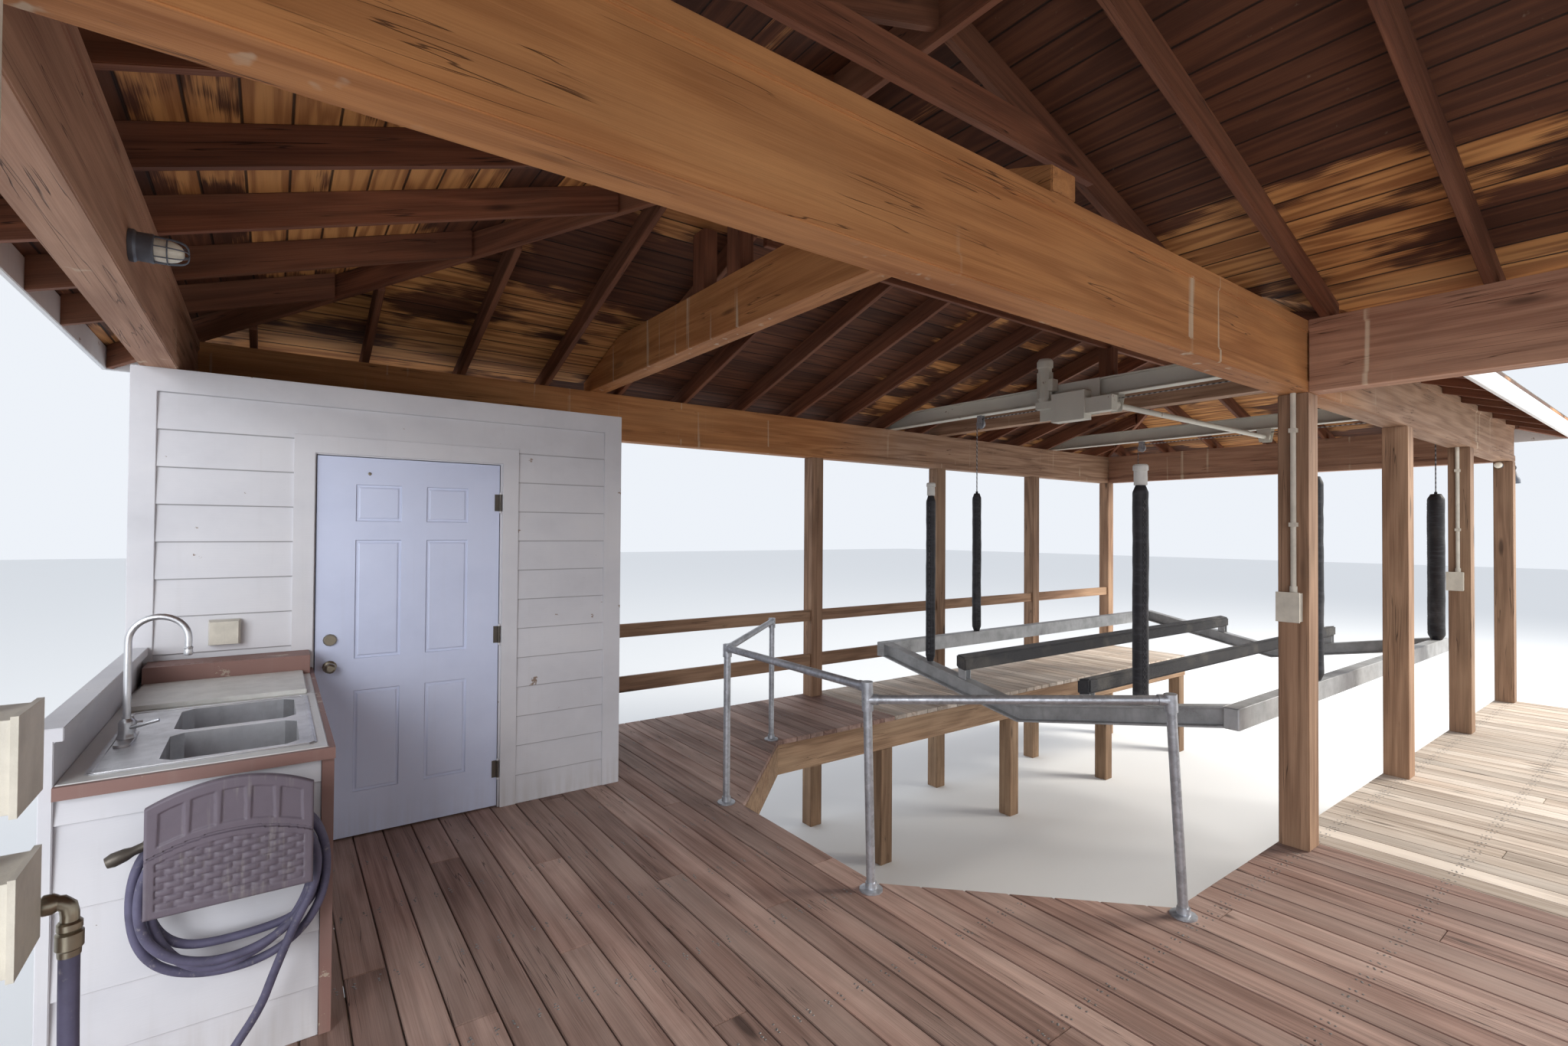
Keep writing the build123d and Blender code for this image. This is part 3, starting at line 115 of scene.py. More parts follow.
class Paint:
    """One material, kept in MAT by its name: a Principled shader and the nodes that feed it."""

    def __init__(self, name):
        MAT[name] = bpy.data.materials.new(name)
        MAT[name].use_nodes = True
        self.tree = MAT[name].node_tree
        self.tree.nodes.clear()
        self.shader = self.node("BsdfPrincipled")
        out = self.node("OutputMaterial")
        self.tree.links.new(self.shader.outputs[0], out.inputs[0])

    def feed(self, node, inputs):
        for key, value in inputs.items():
            if isinstance(value, Val):
                self.tree.links.new(value.socket, node.inputs[key])
            else:
                node.inputs[key].default_value = value

    def node(self, kind, inputs=None, **settings):
        node = self.tree.nodes.new("ShaderNode" + kind)
        for key, value in settings.items():
            setattr(node, key, value)
        self.feed(node, inputs or {})
        return node

    def val(self, kind, inputs=None, output=0, **settings):
        return Val(self, self.node(kind, inputs, **settings).outputs[output])

    @cached_property
    def xyz(self):
        return self.split(self.val("TexCoord", output="Object"))

    def split(self, vector):
        return [Val(self, s) for s in self.node("SeparateXYZ", {0: vector}).outputs]

    def stretched(self, place, by):
        """The vector of three coordinates, each times its own number or all times one."""
        parts = by if isinstance(by, tuple) else (by,) * 3
        spread = [c if part == 1 else c * part for c, part in zip(place, parts)]
        return self.val("CombineXYZ", dict(enumerate(spread)))

    def attribute(self, name, output="Fac"):
        return self.val("Attribute", output=output, attribute_name=name)

    def noise(self, by, detail=2, rough=0.5, place=None):
        return self.val("TexNoise", {
            "Vector": self.stretched(place or self.xyz, by), "Scale": 1, "Detail": detail, "Roughness": rough,
        })

    def cells(self, by, output="Distance", place=None):
        inputs = {"Vector": self.stretched(place or self.xyz, by), "Scale": 1}
        return self.val("TexVoronoi", inputs, output)

    def mix(self, share, under, over):
        under, over = [c if isinstance(c, Val) else (*c, 1) for c in (under, over)]
        return self.val("Mix", {0: share, 6: under, 7: over}, 2, data_type="RGBA")

    def coats(self, colour, *coats):
        """The colour under coats of (share, colour), laid one over the other."""
        for share, over in coats:
            colour = self.mix(share, colour, over)
        return colour

    def scaled(self, colour, factor):
        return self.val("VectorMath", {0: colour, "Scale": factor}, operation="SCALE")

    def finish(self, colour, rough, height=None, depth=0.001, metal=0, gloss=0.5, sheen=0):
        self.feed(self.shader, {
            "Base Color": colour, "Roughness": rough, "Metallic": metal,
            "Specular IOR Level": gloss, "Sheen Weight": sheen,
        })
        if height is not None:
            bump = self.val("Bump", {"Strength": 1, "Distance": depth, "Height": height})
            self.feed(self.shader, {"Normal": bump})


def dimmed(colour, share):
    return [c * share for c in colour]


print("shader classes ready")

# %% [markdown]
# ## Timber
# Every piece of timber carries a `grain` attribute: its own length, width and thickness
# in metres from a random start. So the grain runs along each board, rafter and post.
# `tone` varies from piece to piece, and `arris` marks the worn edges. `faded` greys the
# beams that stand in the sun, out along the slip, and `streaks` are pale runs. A picture of
# wood could be wrapped on instead, but it would repeat and smear over the ends.


# %% Timber materials
def timber(name, pale, mid, dark, rough, wear, dirt, streaks=0, faded=0):
    p = Paint(name)
    uvw = u, v, w = p.split(p.attribute("grain", "Vector"))
    tone, arris = p.attribute("tone"), p.attribute("arris")
    x, y, z = p.xyz
    spot = p.cells((1.3, 6, 6), place=uvw)
    chosen = p.split(p.cells((1.3, 6, 6), "Color", place=uvw))[0].ramp(0.7, 0.74)
    knot = spot.ramp(0.16, 0.07) * chosen
    pull = spot.ramp(0.5, 0.1) * chosen
    rings = (p.noise((0.55, 7, 7), 2, 0.45, place=uvw) * 34 + pull * 2.6).sin() * 0.5 + 0.5
    fibre = p.noise((3.5, 260, 260), 3, 0.6, place=uvw)
    coarse = p.noise((1.4, 55, 55), 3, 0.6, place=uvw)
    blotch = p.noise((1, 2.5, 2.5), 3, 0.55, place=(u * 0.7 + tone * 7, v, w))
    check = (p.noise((1.1, 38, 38), 2, 0.4, place=uvw) - 0.5).abs().ramp(0.012, 0)
    check = check * p.noise((2, 9, 9), 1, 0.5, place=uvw).ramp(0.52, 0.62)
    light = (rings * 0.3 + coarse * 0.75 + fibre * 0.45 - 0.3).ramp(0.05, 0.95)
    colour = p.mix(light, dark, mid)
    colour = p.mix((blotch - 0.35 + fibre * 0.25).ramp(0.1, 0.55) * wear, colour, pale)
    if faded:
        weathered = p.mix(light, (0.24, 0.155, 0.11), (0.5, 0.36, 0.27))
        colour = p.mix(x.ramp(-0.5, 0.9) * faded, colour, weathered)
    soil = p.noise(1.7, 5, 0.65).ramp(0.5, 0.72)
    colour = p.coats(
        colour, (knot * 0.85, dimmed(dark, 0.35)), (check * 0.8, dimmed(dark, 0.2)),
        (soil * dirt, dimmed(mid, 0.55)),
    )
    if streaks:
        run = p.noise((16, 16, 0.5), 2, 0.55).ramp(0.62, 0.72)
        run = run * p.noise(1.3).ramp(0.47, 0.6)
        colour = p.mix(run * streaks, colour, (0.72, 0.6, 0.44))
    colour = p.scaled(p.mix(arris * 0.45, colour, pale), tone * 0.42 + 0.79)
    height = rings * 0.12 + coarse * 0.5 + fibre * 0.35 - check * 1.6 - knot * 0.3
    p.finish(colour, rough + 0.2 - fibre * 0.25 - rings * 0.06, height, 0.0012, gloss=0.35)


# Pale, middle and dark colour, roughness, wear, dirt, streaks, fading
for name, *look in (
    ("deck", (0.56, 0.432, 0.372), (0.362, 0.226, 0.183), (0.162, 0.089, 0.068), 0.62, 0.5, 0.35),
    # The walks are the deck's own wood, painted much paler to stand for sunlight on them
    ("walk", (0.82, 0.75, 0.67), (0.67, 0.57, 0.48), (0.35, 0.27, 0.21), 0.72, 0.6, 0.25),
    ("post", (0.56, 0.38, 0.24), (0.4, 0.24, 0.15), (0.18, 0.098, 0.058), 0.68, 0.4, 0.25),
    ("beam", (0.76, 0.42, 0.185), (0.66, 0.295, 0.105), (0.38, 0.145, 0.046), 0.66, 0.35, 0.3, 0.75, 0.75),
    ("cross", (0.65, 0.42, 0.28), (0.5, 0.272, 0.174), (0.27, 0.127, 0.079), 0.66, 0.35, 0.35, 0.75),
    ("rafter", (0.38, 0.18, 0.1), (0.24, 0.088, 0.045), (0.095, 0.032, 0.017), 0.66, 0.35, 0.25),
    ("rough", (0.52, 0.37, 0.24), (0.36, 0.225, 0.135), (0.16, 0.09, 0.052), 0.75, 0.45, 0.45),
):
    timber("wood_" + name, *look)
print("timber materials:", sorted(MAT))

# %% [markdown]
# ## Helpers for meshes
# A bmesh gets its solids, `grain` gives each solid its axes, and `put` makes it a piece of
# the object. Edit mode could do this by hand, but code can be changed and run again.

# %% Mesh helpers
WELD = 2e-5
rng = np.random.default_rng(7)


def draw(low, high):
    return float(rng.uniform(low, high))


def put(name, form, mats, nodes="", body="root", smooth=0):
    """Makes a mesh or a bmesh one piece of the object, from materials named in one string.
    `smooth` is the angle in degrees past which an edge stays sharp."""
    if isinstance(form, bmesh.types.BMesh):
        mesh = bpy.data.meshes.new(name)
        form.to_mesh(mesh)
        form.free()
        form = mesh
    obj = add(name, form)
    if form.materials:
        form.materials.clear()
    for m in mats.split():
        form.materials.append(MAT[m])
    if smooth:
        form.shade_smooth()
        form.set_sharp_from_angle(angle=radians(smooth))
    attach(obj, body)
    if nodes:
        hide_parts(*nodes.split())
    return obj


def evaluated(obj):
    """The mesh that an object's modifiers make."""
    bpy.context.view_layer.update()
    return bpy.data.meshes.new_from_object(obj.evaluated_get(bpy.context.evaluated_depsgraph_get()))


def cad(name, weld=True):
    """A CAD node's form, as a bmesh."""
    bm = bmesh.new()
    bm.from_mesh(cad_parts[name].data)
    if weld:
        bmesh.ops.remove_doubles(bm, verts=bm.verts, dist=WELD)
    return bm


def islands(bm):
    """The vertices of each separate solid."""
    seen, groups = set(), []
    for start in bm.verts:
        if start in seen:
            continue
        seen.add(start)
        group, queue = [], [start]
        while queue:
            vert = queue.pop()
            group.append(vert)
            fresh = [v for v in (e.other_vert(vert) for e in vert.link_edges) if v not in seen]
            seen.update(fresh)
            queue += fresh
        groups.append(group)
    return groups


def grain(bm, along=None):
    """Gives each solid its own grain axes, a random start and a random tone."""
    layer = bm.verts.layers.float_vector.new("grain")
    tone = bm.verts.layers.float.new("tone")
    for group in islands(bm):
        edges = dict.fromkeys(e for v in group for e in v.link_edges)
        longest = max(edges, key=lambda e: e.calc_length())
        u = Vector(along) if along else (longest.verts[1].co - longest.verts[0].co)
        u.normalize()
        faces = dict.fromkeys(f for v in group for f in v.link_faces if abs(f.normal.dot(u)) < 0.3)
        face = max(faces, key=lambda f: f.calc_area()) if faces else None
        n = face.normal if face else u.orthogonal()
        n = (n - u * n.dot(u)).normalized()
        b = u.cross(n)
        start = Vector(rng.uniform(0, 40, 3))
        shade = draw(0, 1)
        for v in group:
            v[layer] = Vector((v.co.dot(u), v.co.dot(b), v.co.dot(n))) + start
            v[tone] = shade


def soften(bm, edge, segments=2, sharp=0.5):
    """Rounds the sharp edges a little and marks the rounded strips as arris."""
    edges = [e for e in bm.edges if len(e.link_faces) == 2 and e.calc_face_angle(0) > sharp]
    made = bmesh.ops.bevel(bm, geom=edges, offset=edge, segments=segments, affect="EDGES", clamp_overlap=True)
    layer = bm.faces.layers.float.new("arris")
    for face in made["faces"]:
        if face.is_valid:
            face[layer] = 1


def dress(name, mats, edge, slot, body="root", flat=0.01, sharp=0.5, segments=2):
    """A CAD node's own form, with grain along each solid and edges softened by `edge` mm."""
    bm = cad(name)
    bmesh.ops.dissolve_limit(bm, angle_limit=flat, verts=bm.verts, edges=bm.edges)
    if edge:
        soften(bm, edge / 1000, segments, sharp)
    grain(bm)
    return put(name + "_look", bm, mats, name, body)


def face_out(bm):
    bmesh.ops.recalc_face_normals(bm, faces=bm.faces)


def circle(count):
    """The cosine and sine of evenly spaced angles round a full turn."""
    return [(cos(2 * pi * i / count), sin(2 * pi * i / count)) for i in range(count)]


def bridge(bm, rings, mat=0):
    """Skins closed rings of vertices in turn and caps both ends. A ring may be one vertex."""
    for low, high in zip(rings, rings[1:]):
        count = max(len(low), len(high))
        for i in range(count):
            j = (i + 1) % count
            face = (low[i % len(low)], low[j % len(low)], high[j % len(high)], high[i % len(high)])
            bm.faces.new(list(dict.fromkeys(face))).material_index = mat
    for ring in (rings[0][::-1], rings[-1]):
        if len(ring) > 1:
            bm.faces.new(ring).material_index = mat


# Wood, edge in millimetres, slot and CAD nodes
for row in (
    "post 4 frame_wood posts", "beam 4 frame_wood beams_long", "cross 4 frame_wood beams_cross",
    "beam 4 frame_wood tie_beams", "rafter 3 frame_wood collar struts", "post 3 frame_wood guard_rails",
    "rough 4 frame_wood piles girders", "rough 3 frame_wood joists deck_rim",
    "rafter 3 roof_wood rafters_wing rafters_slip hips ridges",
):
    wood, edge, slot, *nodes = row.split()
    for node in nodes:
        dress(node, "wood_" + wood, float(edge), slot)
print("timber pieces dressed")

# %% [markdown]
# ## Deck boards
# Every board runs along Y. The deck is split into convex fields round the slip, and each
# field is cut into strips 140 mm apart, then into lengths with staggered butt joints. An
# Array modifier fills a rectangle, but these boards also end at the slip's slanting corners.

# %% Deck boards
DECK, BOARD, PITCH, GAP = 1.3, 0.038, 0.14, 0.006
SLIP_END, SLIP_R, SLIP_L, CUT = -2.47, -0.15, 2.88, 0.93
WALK_X, SIDE = -0.24, 4.05


def clip(poly, axis, limit, keep_above):
    """Cuts a convex polygon at a line, as one step of Sutherland and Hodgman's method."""
    out = []
    for a, b in zip(poly, poly[1:] + poly[:1]):
        ina = (a[axis] >= limit) == keep_above
        inb = (b[axis] >= limit) == keep_above
        if ina:
            out.append(a)
        if ina != inb:
            t = (limit - a[axis]) / (b[axis] - a[axis])
            out.append((a[0] + t * (b[0] - a[0]), a[1] + t * (b[1] - a[1])))
    return out


def area(poly):
    return 0.5 * sum(a[0] * b[1] - b[0] * a[1] for a, b in zip(poly, poly[1:] + poly[:1]))


def slab(bm, low, high):
    """A solid between two outlines, one over the other, that run anticlockwise from above."""
    low, high = [[bm.verts.new(p) for p in outline] for outline in (low, high)]
    bm.faces.new(low[::-1])
    bm.faces.new(high)
    for i in range(len(low)):
        j = (i + 1) % len(low)
        bm.faces.new((low[i], low[j], high[j], high[i]))


def prism(bm, poly, z0, z1):
    if area(poly) < 0:
        poly = poly[::-1]
    slab(bm, [(x, y, z0) for x, y in poly], [(x, y, z1) for x, y in poly])


def boards(name, fields, mat, node):
    bm = bmesh.new()
    for poly in fields:
        xs, ys = zip(*poly)
        k = math.floor((min(xs) - SLIP_END) / PITCH)
        while SLIP_END + k * PITCH < max(xs) - 0.004:
            x0, x1 = SLIP_END + k * PITCH + GAP / 2, SLIP_END + (k + 1) * PITCH - GAP / 2
            cuts = [j for j in sorted(JOINTS[k % len(JOINTS)]) if min(ys) + 0.5 < j < max(ys) - 0.5]
            marks = [min(ys)] + cuts + [max(ys)]
            for a, b in zip(marks, marks[1:]):
                piece = poly
                for cut in ((0, x0, True), (0, x1, False), (1, a + 0.0015, True), (1, b - 0.0015, False)):
                    piece = clip(piece, *cut)
                if len(piece) > 2 and abs(area(piece)) > 2e-4:
                    prism(bm, piece, DECK - BOARD, DECK - draw(0, 0.0012))
            k += 1
    bmesh.ops.remove_doubles(bm, verts=bm.verts, dist=1e-6)
    soften(bm, 0.0025)
    grain(bm, (0, 1, 0))
    return put(name, bm, mat, node)


# Where the butt joints lie along Y, for nine boards in turn
JOINTS = [[-2.2, 1.9], [0.4], [-0.9, 2.7], [1.4, -3.1], [-1.6], [0.9, 3], [-2.7, 2.2], [-0.3], [-3.3, 1.1]]
near_fields = [
    [(-5.34, -SIDE), (SLIP_END, -SIDE), (SLIP_END, SIDE), (-5.34, SIDE)],
    [(SLIP_END, -SIDE), (WALK_X, -SIDE), (WALK_X, SLIP_R), (SLIP_END + CUT, SLIP_R), (SLIP_END, SLIP_R + CUT)],
    [(SLIP_END, SLIP_L - CUT), (SLIP_END + CUT, SLIP_L), (WALK_X, SLIP_L), (WALK_X, SIDE), (SLIP_END, SIDE)],
]
walk_fields = [
    [(WALK_X, -2.19), (5.34, -2.19), (5.34, SLIP_R), (WALK_X, SLIP_R)],
    [(WALK_X, SLIP_L), (5.34, SLIP_L), (5.34, SIDE), (WALK_X, SIDE)],
]
boards("deck_boards", near_fields, "wood_deck", "deck_near")
# The walk boards take the paler copy of the deck wood, with sunlight painted into its colour
boards("walk_boards", walk_fields, "wood_walk", "deck_walks")
print("deck boards laid")

# %% [markdown]
# ## Painted lap siding
# Each course is a board that stands 14 mm proud at its foot and 3 mm at its top.
# The paint is off-white, with faint grain, patchy grime, a painted shadow line under each lap and a few bare
# chips. Laps could be bump in the paint, but real steps catch light and shadow from every side.

# %% Painted wood
LAP = 0.1775
LAPS = [1.3] + [1.469 + LAP * i for i in range(13)]
FOOT, HEAD = 0.014, 0.003
FRONT = 2.765


def painted(name, colour, under=(0.3, 0.22, 0.17), rough=0.45, grime=0.5, chips=0, lap_shadow=0):
    """`under` shows where the paint is chipped, and the lap share paints a dark line of shadow under each course.
    """
    p = Paint(name)
    x, y, z = p.xyz
    fine = p.noise((9, 9, 160), 3, 0.6)
    cloud = p.noise((1.3, 1.3, 1.6), 5, 0.6)
    run = p.noise((24, 24, 0.9), 3, 0.6)
    tint = p.mix(cloud.ramp(0.3, 0.75), colour, [c * f for c, f in zip(colour, (0.86, 0.87, 0.9))])
    dirty = cloud.ramp(0.48, 0.75) * 0.6 + run.ramp(0.55, 0.8) * 0.4
    low = z.ramp(1.55, 1.3) * run.ramp(0.35, 0.65)
    tint = p.coats(
        tint, (dirty * grime * 0.45, (0.46, 0.42, 0.37)), (low * grime * 0.5, (0.36, 0.31, 0.26)),
    )
    height = fine * 0.5 + cloud * 0.3
    if lap_shadow:
        # Painted shadow: a dark line just under the foot of each course, where the lap casts its shade
        line = (((z - LAPS[1]) / LAP).fract() - 0.5).abs().ramp(0.47, 0.497)
        tint = p.mix(line * lap_shadow, tint, (0.2, 0.19, 0.19))
    if chips:
        flake = p.noise((7, 7, 9), 6, 0.7).ramp(0.7 - chips * 0.1, 0.72 - chips * 0.1)
        tint = p.mix(flake, tint, under)
        height = height - flake * 0.8
    p.finish(tint, rough + 0.1 - fine * 0.1 + dirty * 0.2, height, 0.0006, gloss=0.4)


painted("paint_white", (0.7, 0.69, 0.71), chips=0.15)
# The siding's paint carries the painted lap shadows
painted("paint_siding", (0.7, 0.69, 0.71), chips=0.15, lap_shadow=0.55)
painted("paint_fascia", (0.8, 0.8, 0.8), chips=0.3)
painted("paint_door", (0.67, 0.72, 0.9), rough=0.38, grime=0.25)
painted("paint_brown", (0.27, 0.15, 0.125), (0.42, 0.33, 0.26), 0.5, 0.5, 0.8)


def walled(name, node, runs, mat="paint_siding", laps=LAPS):
    """The CAD wall as a core, with siding on its outer faces. Each run goes from one plan
    point to another, stands out along a third, and lies between two heights."""
    bm = cad(node)
    for x0, y0, x1, y1, out_x, out_y, low, high in runs:
        marks = [low] + [z for z in laps if low + 0.01 < z < high - 0.01] + [high]
        for z0, z1 in zip(marks, marks[1:]):
            profile = [(0, z0), (FOOT - 0.0012, z0), (FOOT, z0 + 0.0015), (HEAD, z1), (0, z1)]
            bridge(bm, [
                [bm.verts.new((x + out_x * s, y + out_y * s, z)) for s, z in profile]
                for x, y in ((x0, y0), (x1, y1))
            ])
    face_out(bm)
    put(name, bm, mat, node)


walled("siding_left", "wall_front_left", [(-5.245, FRONT, -4.714, FRONT, 0, -1, DECK, 3.6)])
walled("siding_right", "wall_front_right", [(-3.594, FRONT, -3.05, FRONT, 0, -1, DECK, 3.6)])
walled("siding_over", "wall_front_top", [(-4.714, FRONT, -3.594, FRONT, 0, -1, 3.443, 3.6)])
walled("siding_rear", "wall_rear", [
    (-5.34, 4.02, -2.955, 4.02, 0, 1, DECK, 3.71), (-5.34, 2.875, -5.34, 4.02, -1, 0, DECK, 3.71),
    (-2.955, 2.875, -2.955, 4.02, 1, 0, DECK, 3.71),
])
dress("wall_trim", "paint_white", 2, "white_wood")
dress("door_frame", "paint_white", 2, "white_wood")
dress("fascia", "paint_fascia", 3, "white_wood")
print("walls clad")

# %% [markdown]
# ## Roof
# Under each slope lie stained boards with dark joints. On top lie courses of tabs,
# each cut to the hip or valley it meets, and caps along the hips and ridges. An array of
# tabs would stick out over the hips, so each tab is cut to its slope as it is made.

# %% Roof boards and shingles
EAVE, UNDER, RISE = -0.5, 4.237, 0.32
THICK, COURSE, TAB = 0.022, 0.13, 0.305
CORNER = {
    "lb": (-5.67, 4.38), "fb": (5.67, 4.38), "fs": (5.67, -0.66), "ws": (0.09, -0.66),
    "wn": (0.09, -4.38), "ln": (-5.67, -4.38),
    "back": (-2.79, 1.5), "near": (-2.79, -1.5), "wing": (-2.43, 1.86), "far": (3.15, 1.86),
}
# Corners, the axis that the slope climbs along, which way, and where it starts
SLOPES = {
    "roof_left": ("lb back near ln", 0, 1, -5.17),
    "roof_wing": ("ws wing back near wn", 0, -1, -0.41),
    "roof_near": ("ln near wn", 1, 1, -3.88),
    "roof_slip": ("ws fs far wing", 1, 1, -0.16),
    "roof_back": ("lb fb far wing back", 1, -1, 3.88),
    "roof_far": ("fb far fs", 0, -1, 5.17),
}


def roof_boards(name, across):
    """Dark stained boards, 140 mm wide, with patches of brighter orange."""
    p = Paint(name)
    x, y, z = p.xyz
    s, t = (x, y) if across == 0 else (y, x)
    plank = (s / 0.14).floor()
    groove = ((s / 0.14).fract() - 0.5).abs().ramp(0.455, 0.485)
    shade = p.noise((3.7, 1.3, 1), 0, 0.5, place=(plank, plank, 0.5))
    fibre = p.noise((4, 240, 2.1), 3, 0.6, place=(t, s, plank))
    rings = (p.noise((0.6, 9, 5.3), 2, 0.5, place=(t, s, plank)) * 36).sin() * 0.5 + 0.5
    colour = p.mix((rings * 0.35 + fibre * 0.45 - 0.1).ramp(0, 0.9), (0.07, 0.025, 0.013), (0.165, 0.062, 0.029))
    colour = p.scaled(colour, shade * 1.1 + 0.5)
    # Patches where the boards are a brighter orange
    wide = p.noise((1, 1, 0.3), 3, 0.55, place=(t * 0.3 + 6.2, s * 0.42 + 1.7, z))
    orange_patch = p.noise((1, 1.9, 0.8), 4, 0.62, place=(t * 0.75 + plank * 0.23, s, z))
    orange_patch = (wide * 0.62 + orange_patch * 0.42 + (fibre - 0.5) * 0.07 + (shade - 0.5) * 0.1).ramp(0.536, 0.566)
    orange = p.mix((rings * 0.6 + fibre * 0.5).ramp(0.1, 0.9), (0.32, 0.13, 0.044), (0.62, 0.305, 0.108))
    dust = p.noise(22, 4, 0.7).ramp(0.66, 0.78)
    colour = p.coats(
        colour, (orange_patch, orange), (groove * 0.9, (0.012, 0.006, 0.004)), (dust * 0.35, (0.3, 0.24, 0.18)),
    )
    height = fibre * 0.3 + rings * 0.1 - groove * 3
    p.finish(colour, 0.78 - orange_patch * 0.06 - fibre * 0.12, height, 0.0015, gloss=0.3)


roof_boards("roof_boards_x", 0)
roof_boards("roof_boards_y", 1)

# Shingles with a tone for each tab
p = Paint("shingles")
tone = p.attribute("tone")
grit = p.noise(320, 2, 0.7)
cloud = p.noise(0.8, 5, 0.6)
colour = p.mix(grit.ramp(0.35, 0.7), (0.075, 0.062, 0.052), (0.26, 0.225, 0.195))
colour = p.scaled(colour, tone * 0.5 + 0.75)
colour = p.mix(cloud.ramp(0.5, 0.75) * 0.35, colour, (0.1, 0.1, 0.085))
p.finish(colour, 0.92, grit, 0.0012, gloss=0.2)


def span(poly, axis, value):
    """Where a line across the plan polygon, at this value of the axis, enters and leaves it."""
    hits = []
    for a, b in zip(poly, poly[1:] + poly[:1]):
        if (a[axis] - value) * (b[axis] - value) <= 0 and a[axis] != b[axis]:
            t = (value - a[axis]) / (b[axis] - a[axis])
            hits.append(a[1 - axis] + t * (b[1 - axis] - a[1 - axis]))
    return (min(hits), max(hits)) if len(hits) > 1 else None


def slope_z(node, point):
    names, axis, way, origin = SLOPES[node]
    return UNDER + RISE * way * (point[axis] - origin)


def toned(name, verts, faces, tones):
    mesh = bpy.data.meshes.new(name)
    mesh.from_pydata(verts, [], faces)
    mesh.attributes.new("tone", "FLOAT", "POINT").data.foreach_set("value", tones)
    return mesh


for node, (names, axis, way, origin) in SLOPES.items():
    poly = [CORNER[n] for n in names.split()]
    if area(poly) < 0:
        poly = poly[::-1]
    bm = bmesh.new()
    slab(bm, *[[(*p, slope_z(node, p) + up) for p in poly] for up in (0, THICK)])
    put(node + "_boards", bm, "roof_boards_" + "xy"[axis], node)

    # Courses of tabs from the eave up, as open shells that stand on the boards
    top_s = max(way * (p[axis] - origin) for p in poly)
    verts, faces, tones = [], [], []
    for r in range(int((top_s - EAVE) / COURSE) + 1):
        s0, s1 = EAVE + r * COURSE, min(EAVE + (r + 1) * COURSE + 0.02, top_s)
        lines = [span(poly, axis, origin + way * s) for s in (s0 + 1e-4, s1 - 1e-4)]
        if s1 - s0 < 0.02 or not all(lines):
            continue
        (a0, b0), (a1, b1) = lines
        t = min(a0, a1) - (r % 2) * TAB / 2 - 0.01
        while t < max(b0, b1):
            lift, lean = draw(0, 0.0012), draw(-0.002, 0.002)
            lean = max(lean, 0) if r == 0 else lean
            quad = []
            for s, (a, b), h in ((s0 + lean, (a0, b0), 0.0315), (s1, (a1, b1), 0.024)):
                quad += [(s, min(max(e, a), b), h - lift) for e in (t + 0.002, t + TAB - 0.002)]
            if abs(quad[1][1] - quad[0][1]) > 0.004 or abs(quad[3][1] - quad[2][1]) > 0.004:
                base = len(verts)
                for s, e, h in quad + [(s, e, THICK - 0.0005) for s, e, h in quad]:
                    spot = (origin + way * s, e)
                    verts.append((spot[axis], spot[1 - axis], UNDER + RISE * s + h))
                for f in ((0, 1, 3, 2), (0, 4, 5, 1), (1, 5, 7, 3), (2, 6, 4, 0)):
                    faces.append([base + i for i in f])
                tones += [draw(0, 1)] * 8
            t += TAB
    mesh = toned(node + "_tabs", verts, faces, tones)
    if mesh.polygons[0].normal.z < 0:
        mesh.flip_normals()
    put(node + "_tabs", mesh, "shingles")

# Caps along the hips and ridges, bent over the edge and lapped
verts, faces, tones = [], [], []
for start, end, one, two in (
    ("lb", "back", "left", "back"), ("ln", "near", "left", "near"), ("wn", "near", "wing", "near"),
    ("fb", "far", "far", "back"), ("fs", "far", "far", "slip"), ("near", "back", "left", "wing"),
    ("back", "wing", "back", "wing"), ("wing", "far", "back", "slip"),
):
    a, b = Vector(CORNER[start]), Vector(CORNER[end])
    way = (b - a).normalized()
    across = Vector((-way.y, way.x))
    length = (b - a).length
    count = int(length / 0.14)
    eave = start not in ("near", "back", "wing")
    for i in range(count):
        s0 = length * i / count
        s1 = min(length * (i + 1.25) / count, length)
        n = len(verts)
        for low, high in ((0.036, 0.0325), (0.033, 0.03)):
            for s, lift in ((s0, low), (s1, high)):
                for off in (-0.11, -0.055, 0, 0.055, 0.11):
                    near = max(s, abs(off) + 0.012) if eave and i == 0 else s
                    spot = a + way * near + across * off
                    z = min(slope_z("roof_" + node, spot) for node in (one, two)) + lift - 0.003 * (off == 0)
                    verts.append((spot.x, spot.y, z))
        for k in range(n, n + 4):
            faces += [
                [k, k + 1, k + 6, k + 5], [k + 10, k + 15, k + 16, k + 11],
                [k + 10, k + 11, k + 1, k], [k + 5, k + 6, k + 16, k + 15],
            ]
        faces += [[n, n + 5, n + 15, n + 10], [n + 4, n + 14, n + 19, n + 9]]
        tones += [draw(0, 1)] * 20
bm = bmesh.new()
bm.from_mesh(toned("roof_caps", verts, faces, tones))
face_out(bm)
put("roof_caps", bm, "shingles")
print("roof covered")

# %% [markdown]
# ## Metal, plastic, rubber and cloth
# Galvanised pipe has spangle and pale streaks, the lift is chalky enamel, and the cradle is
# dull aluminium. Plastics are mottled by the sun. Each piece could have a material of its
# own, but one function for a family lets pieces in the same weather age alike.


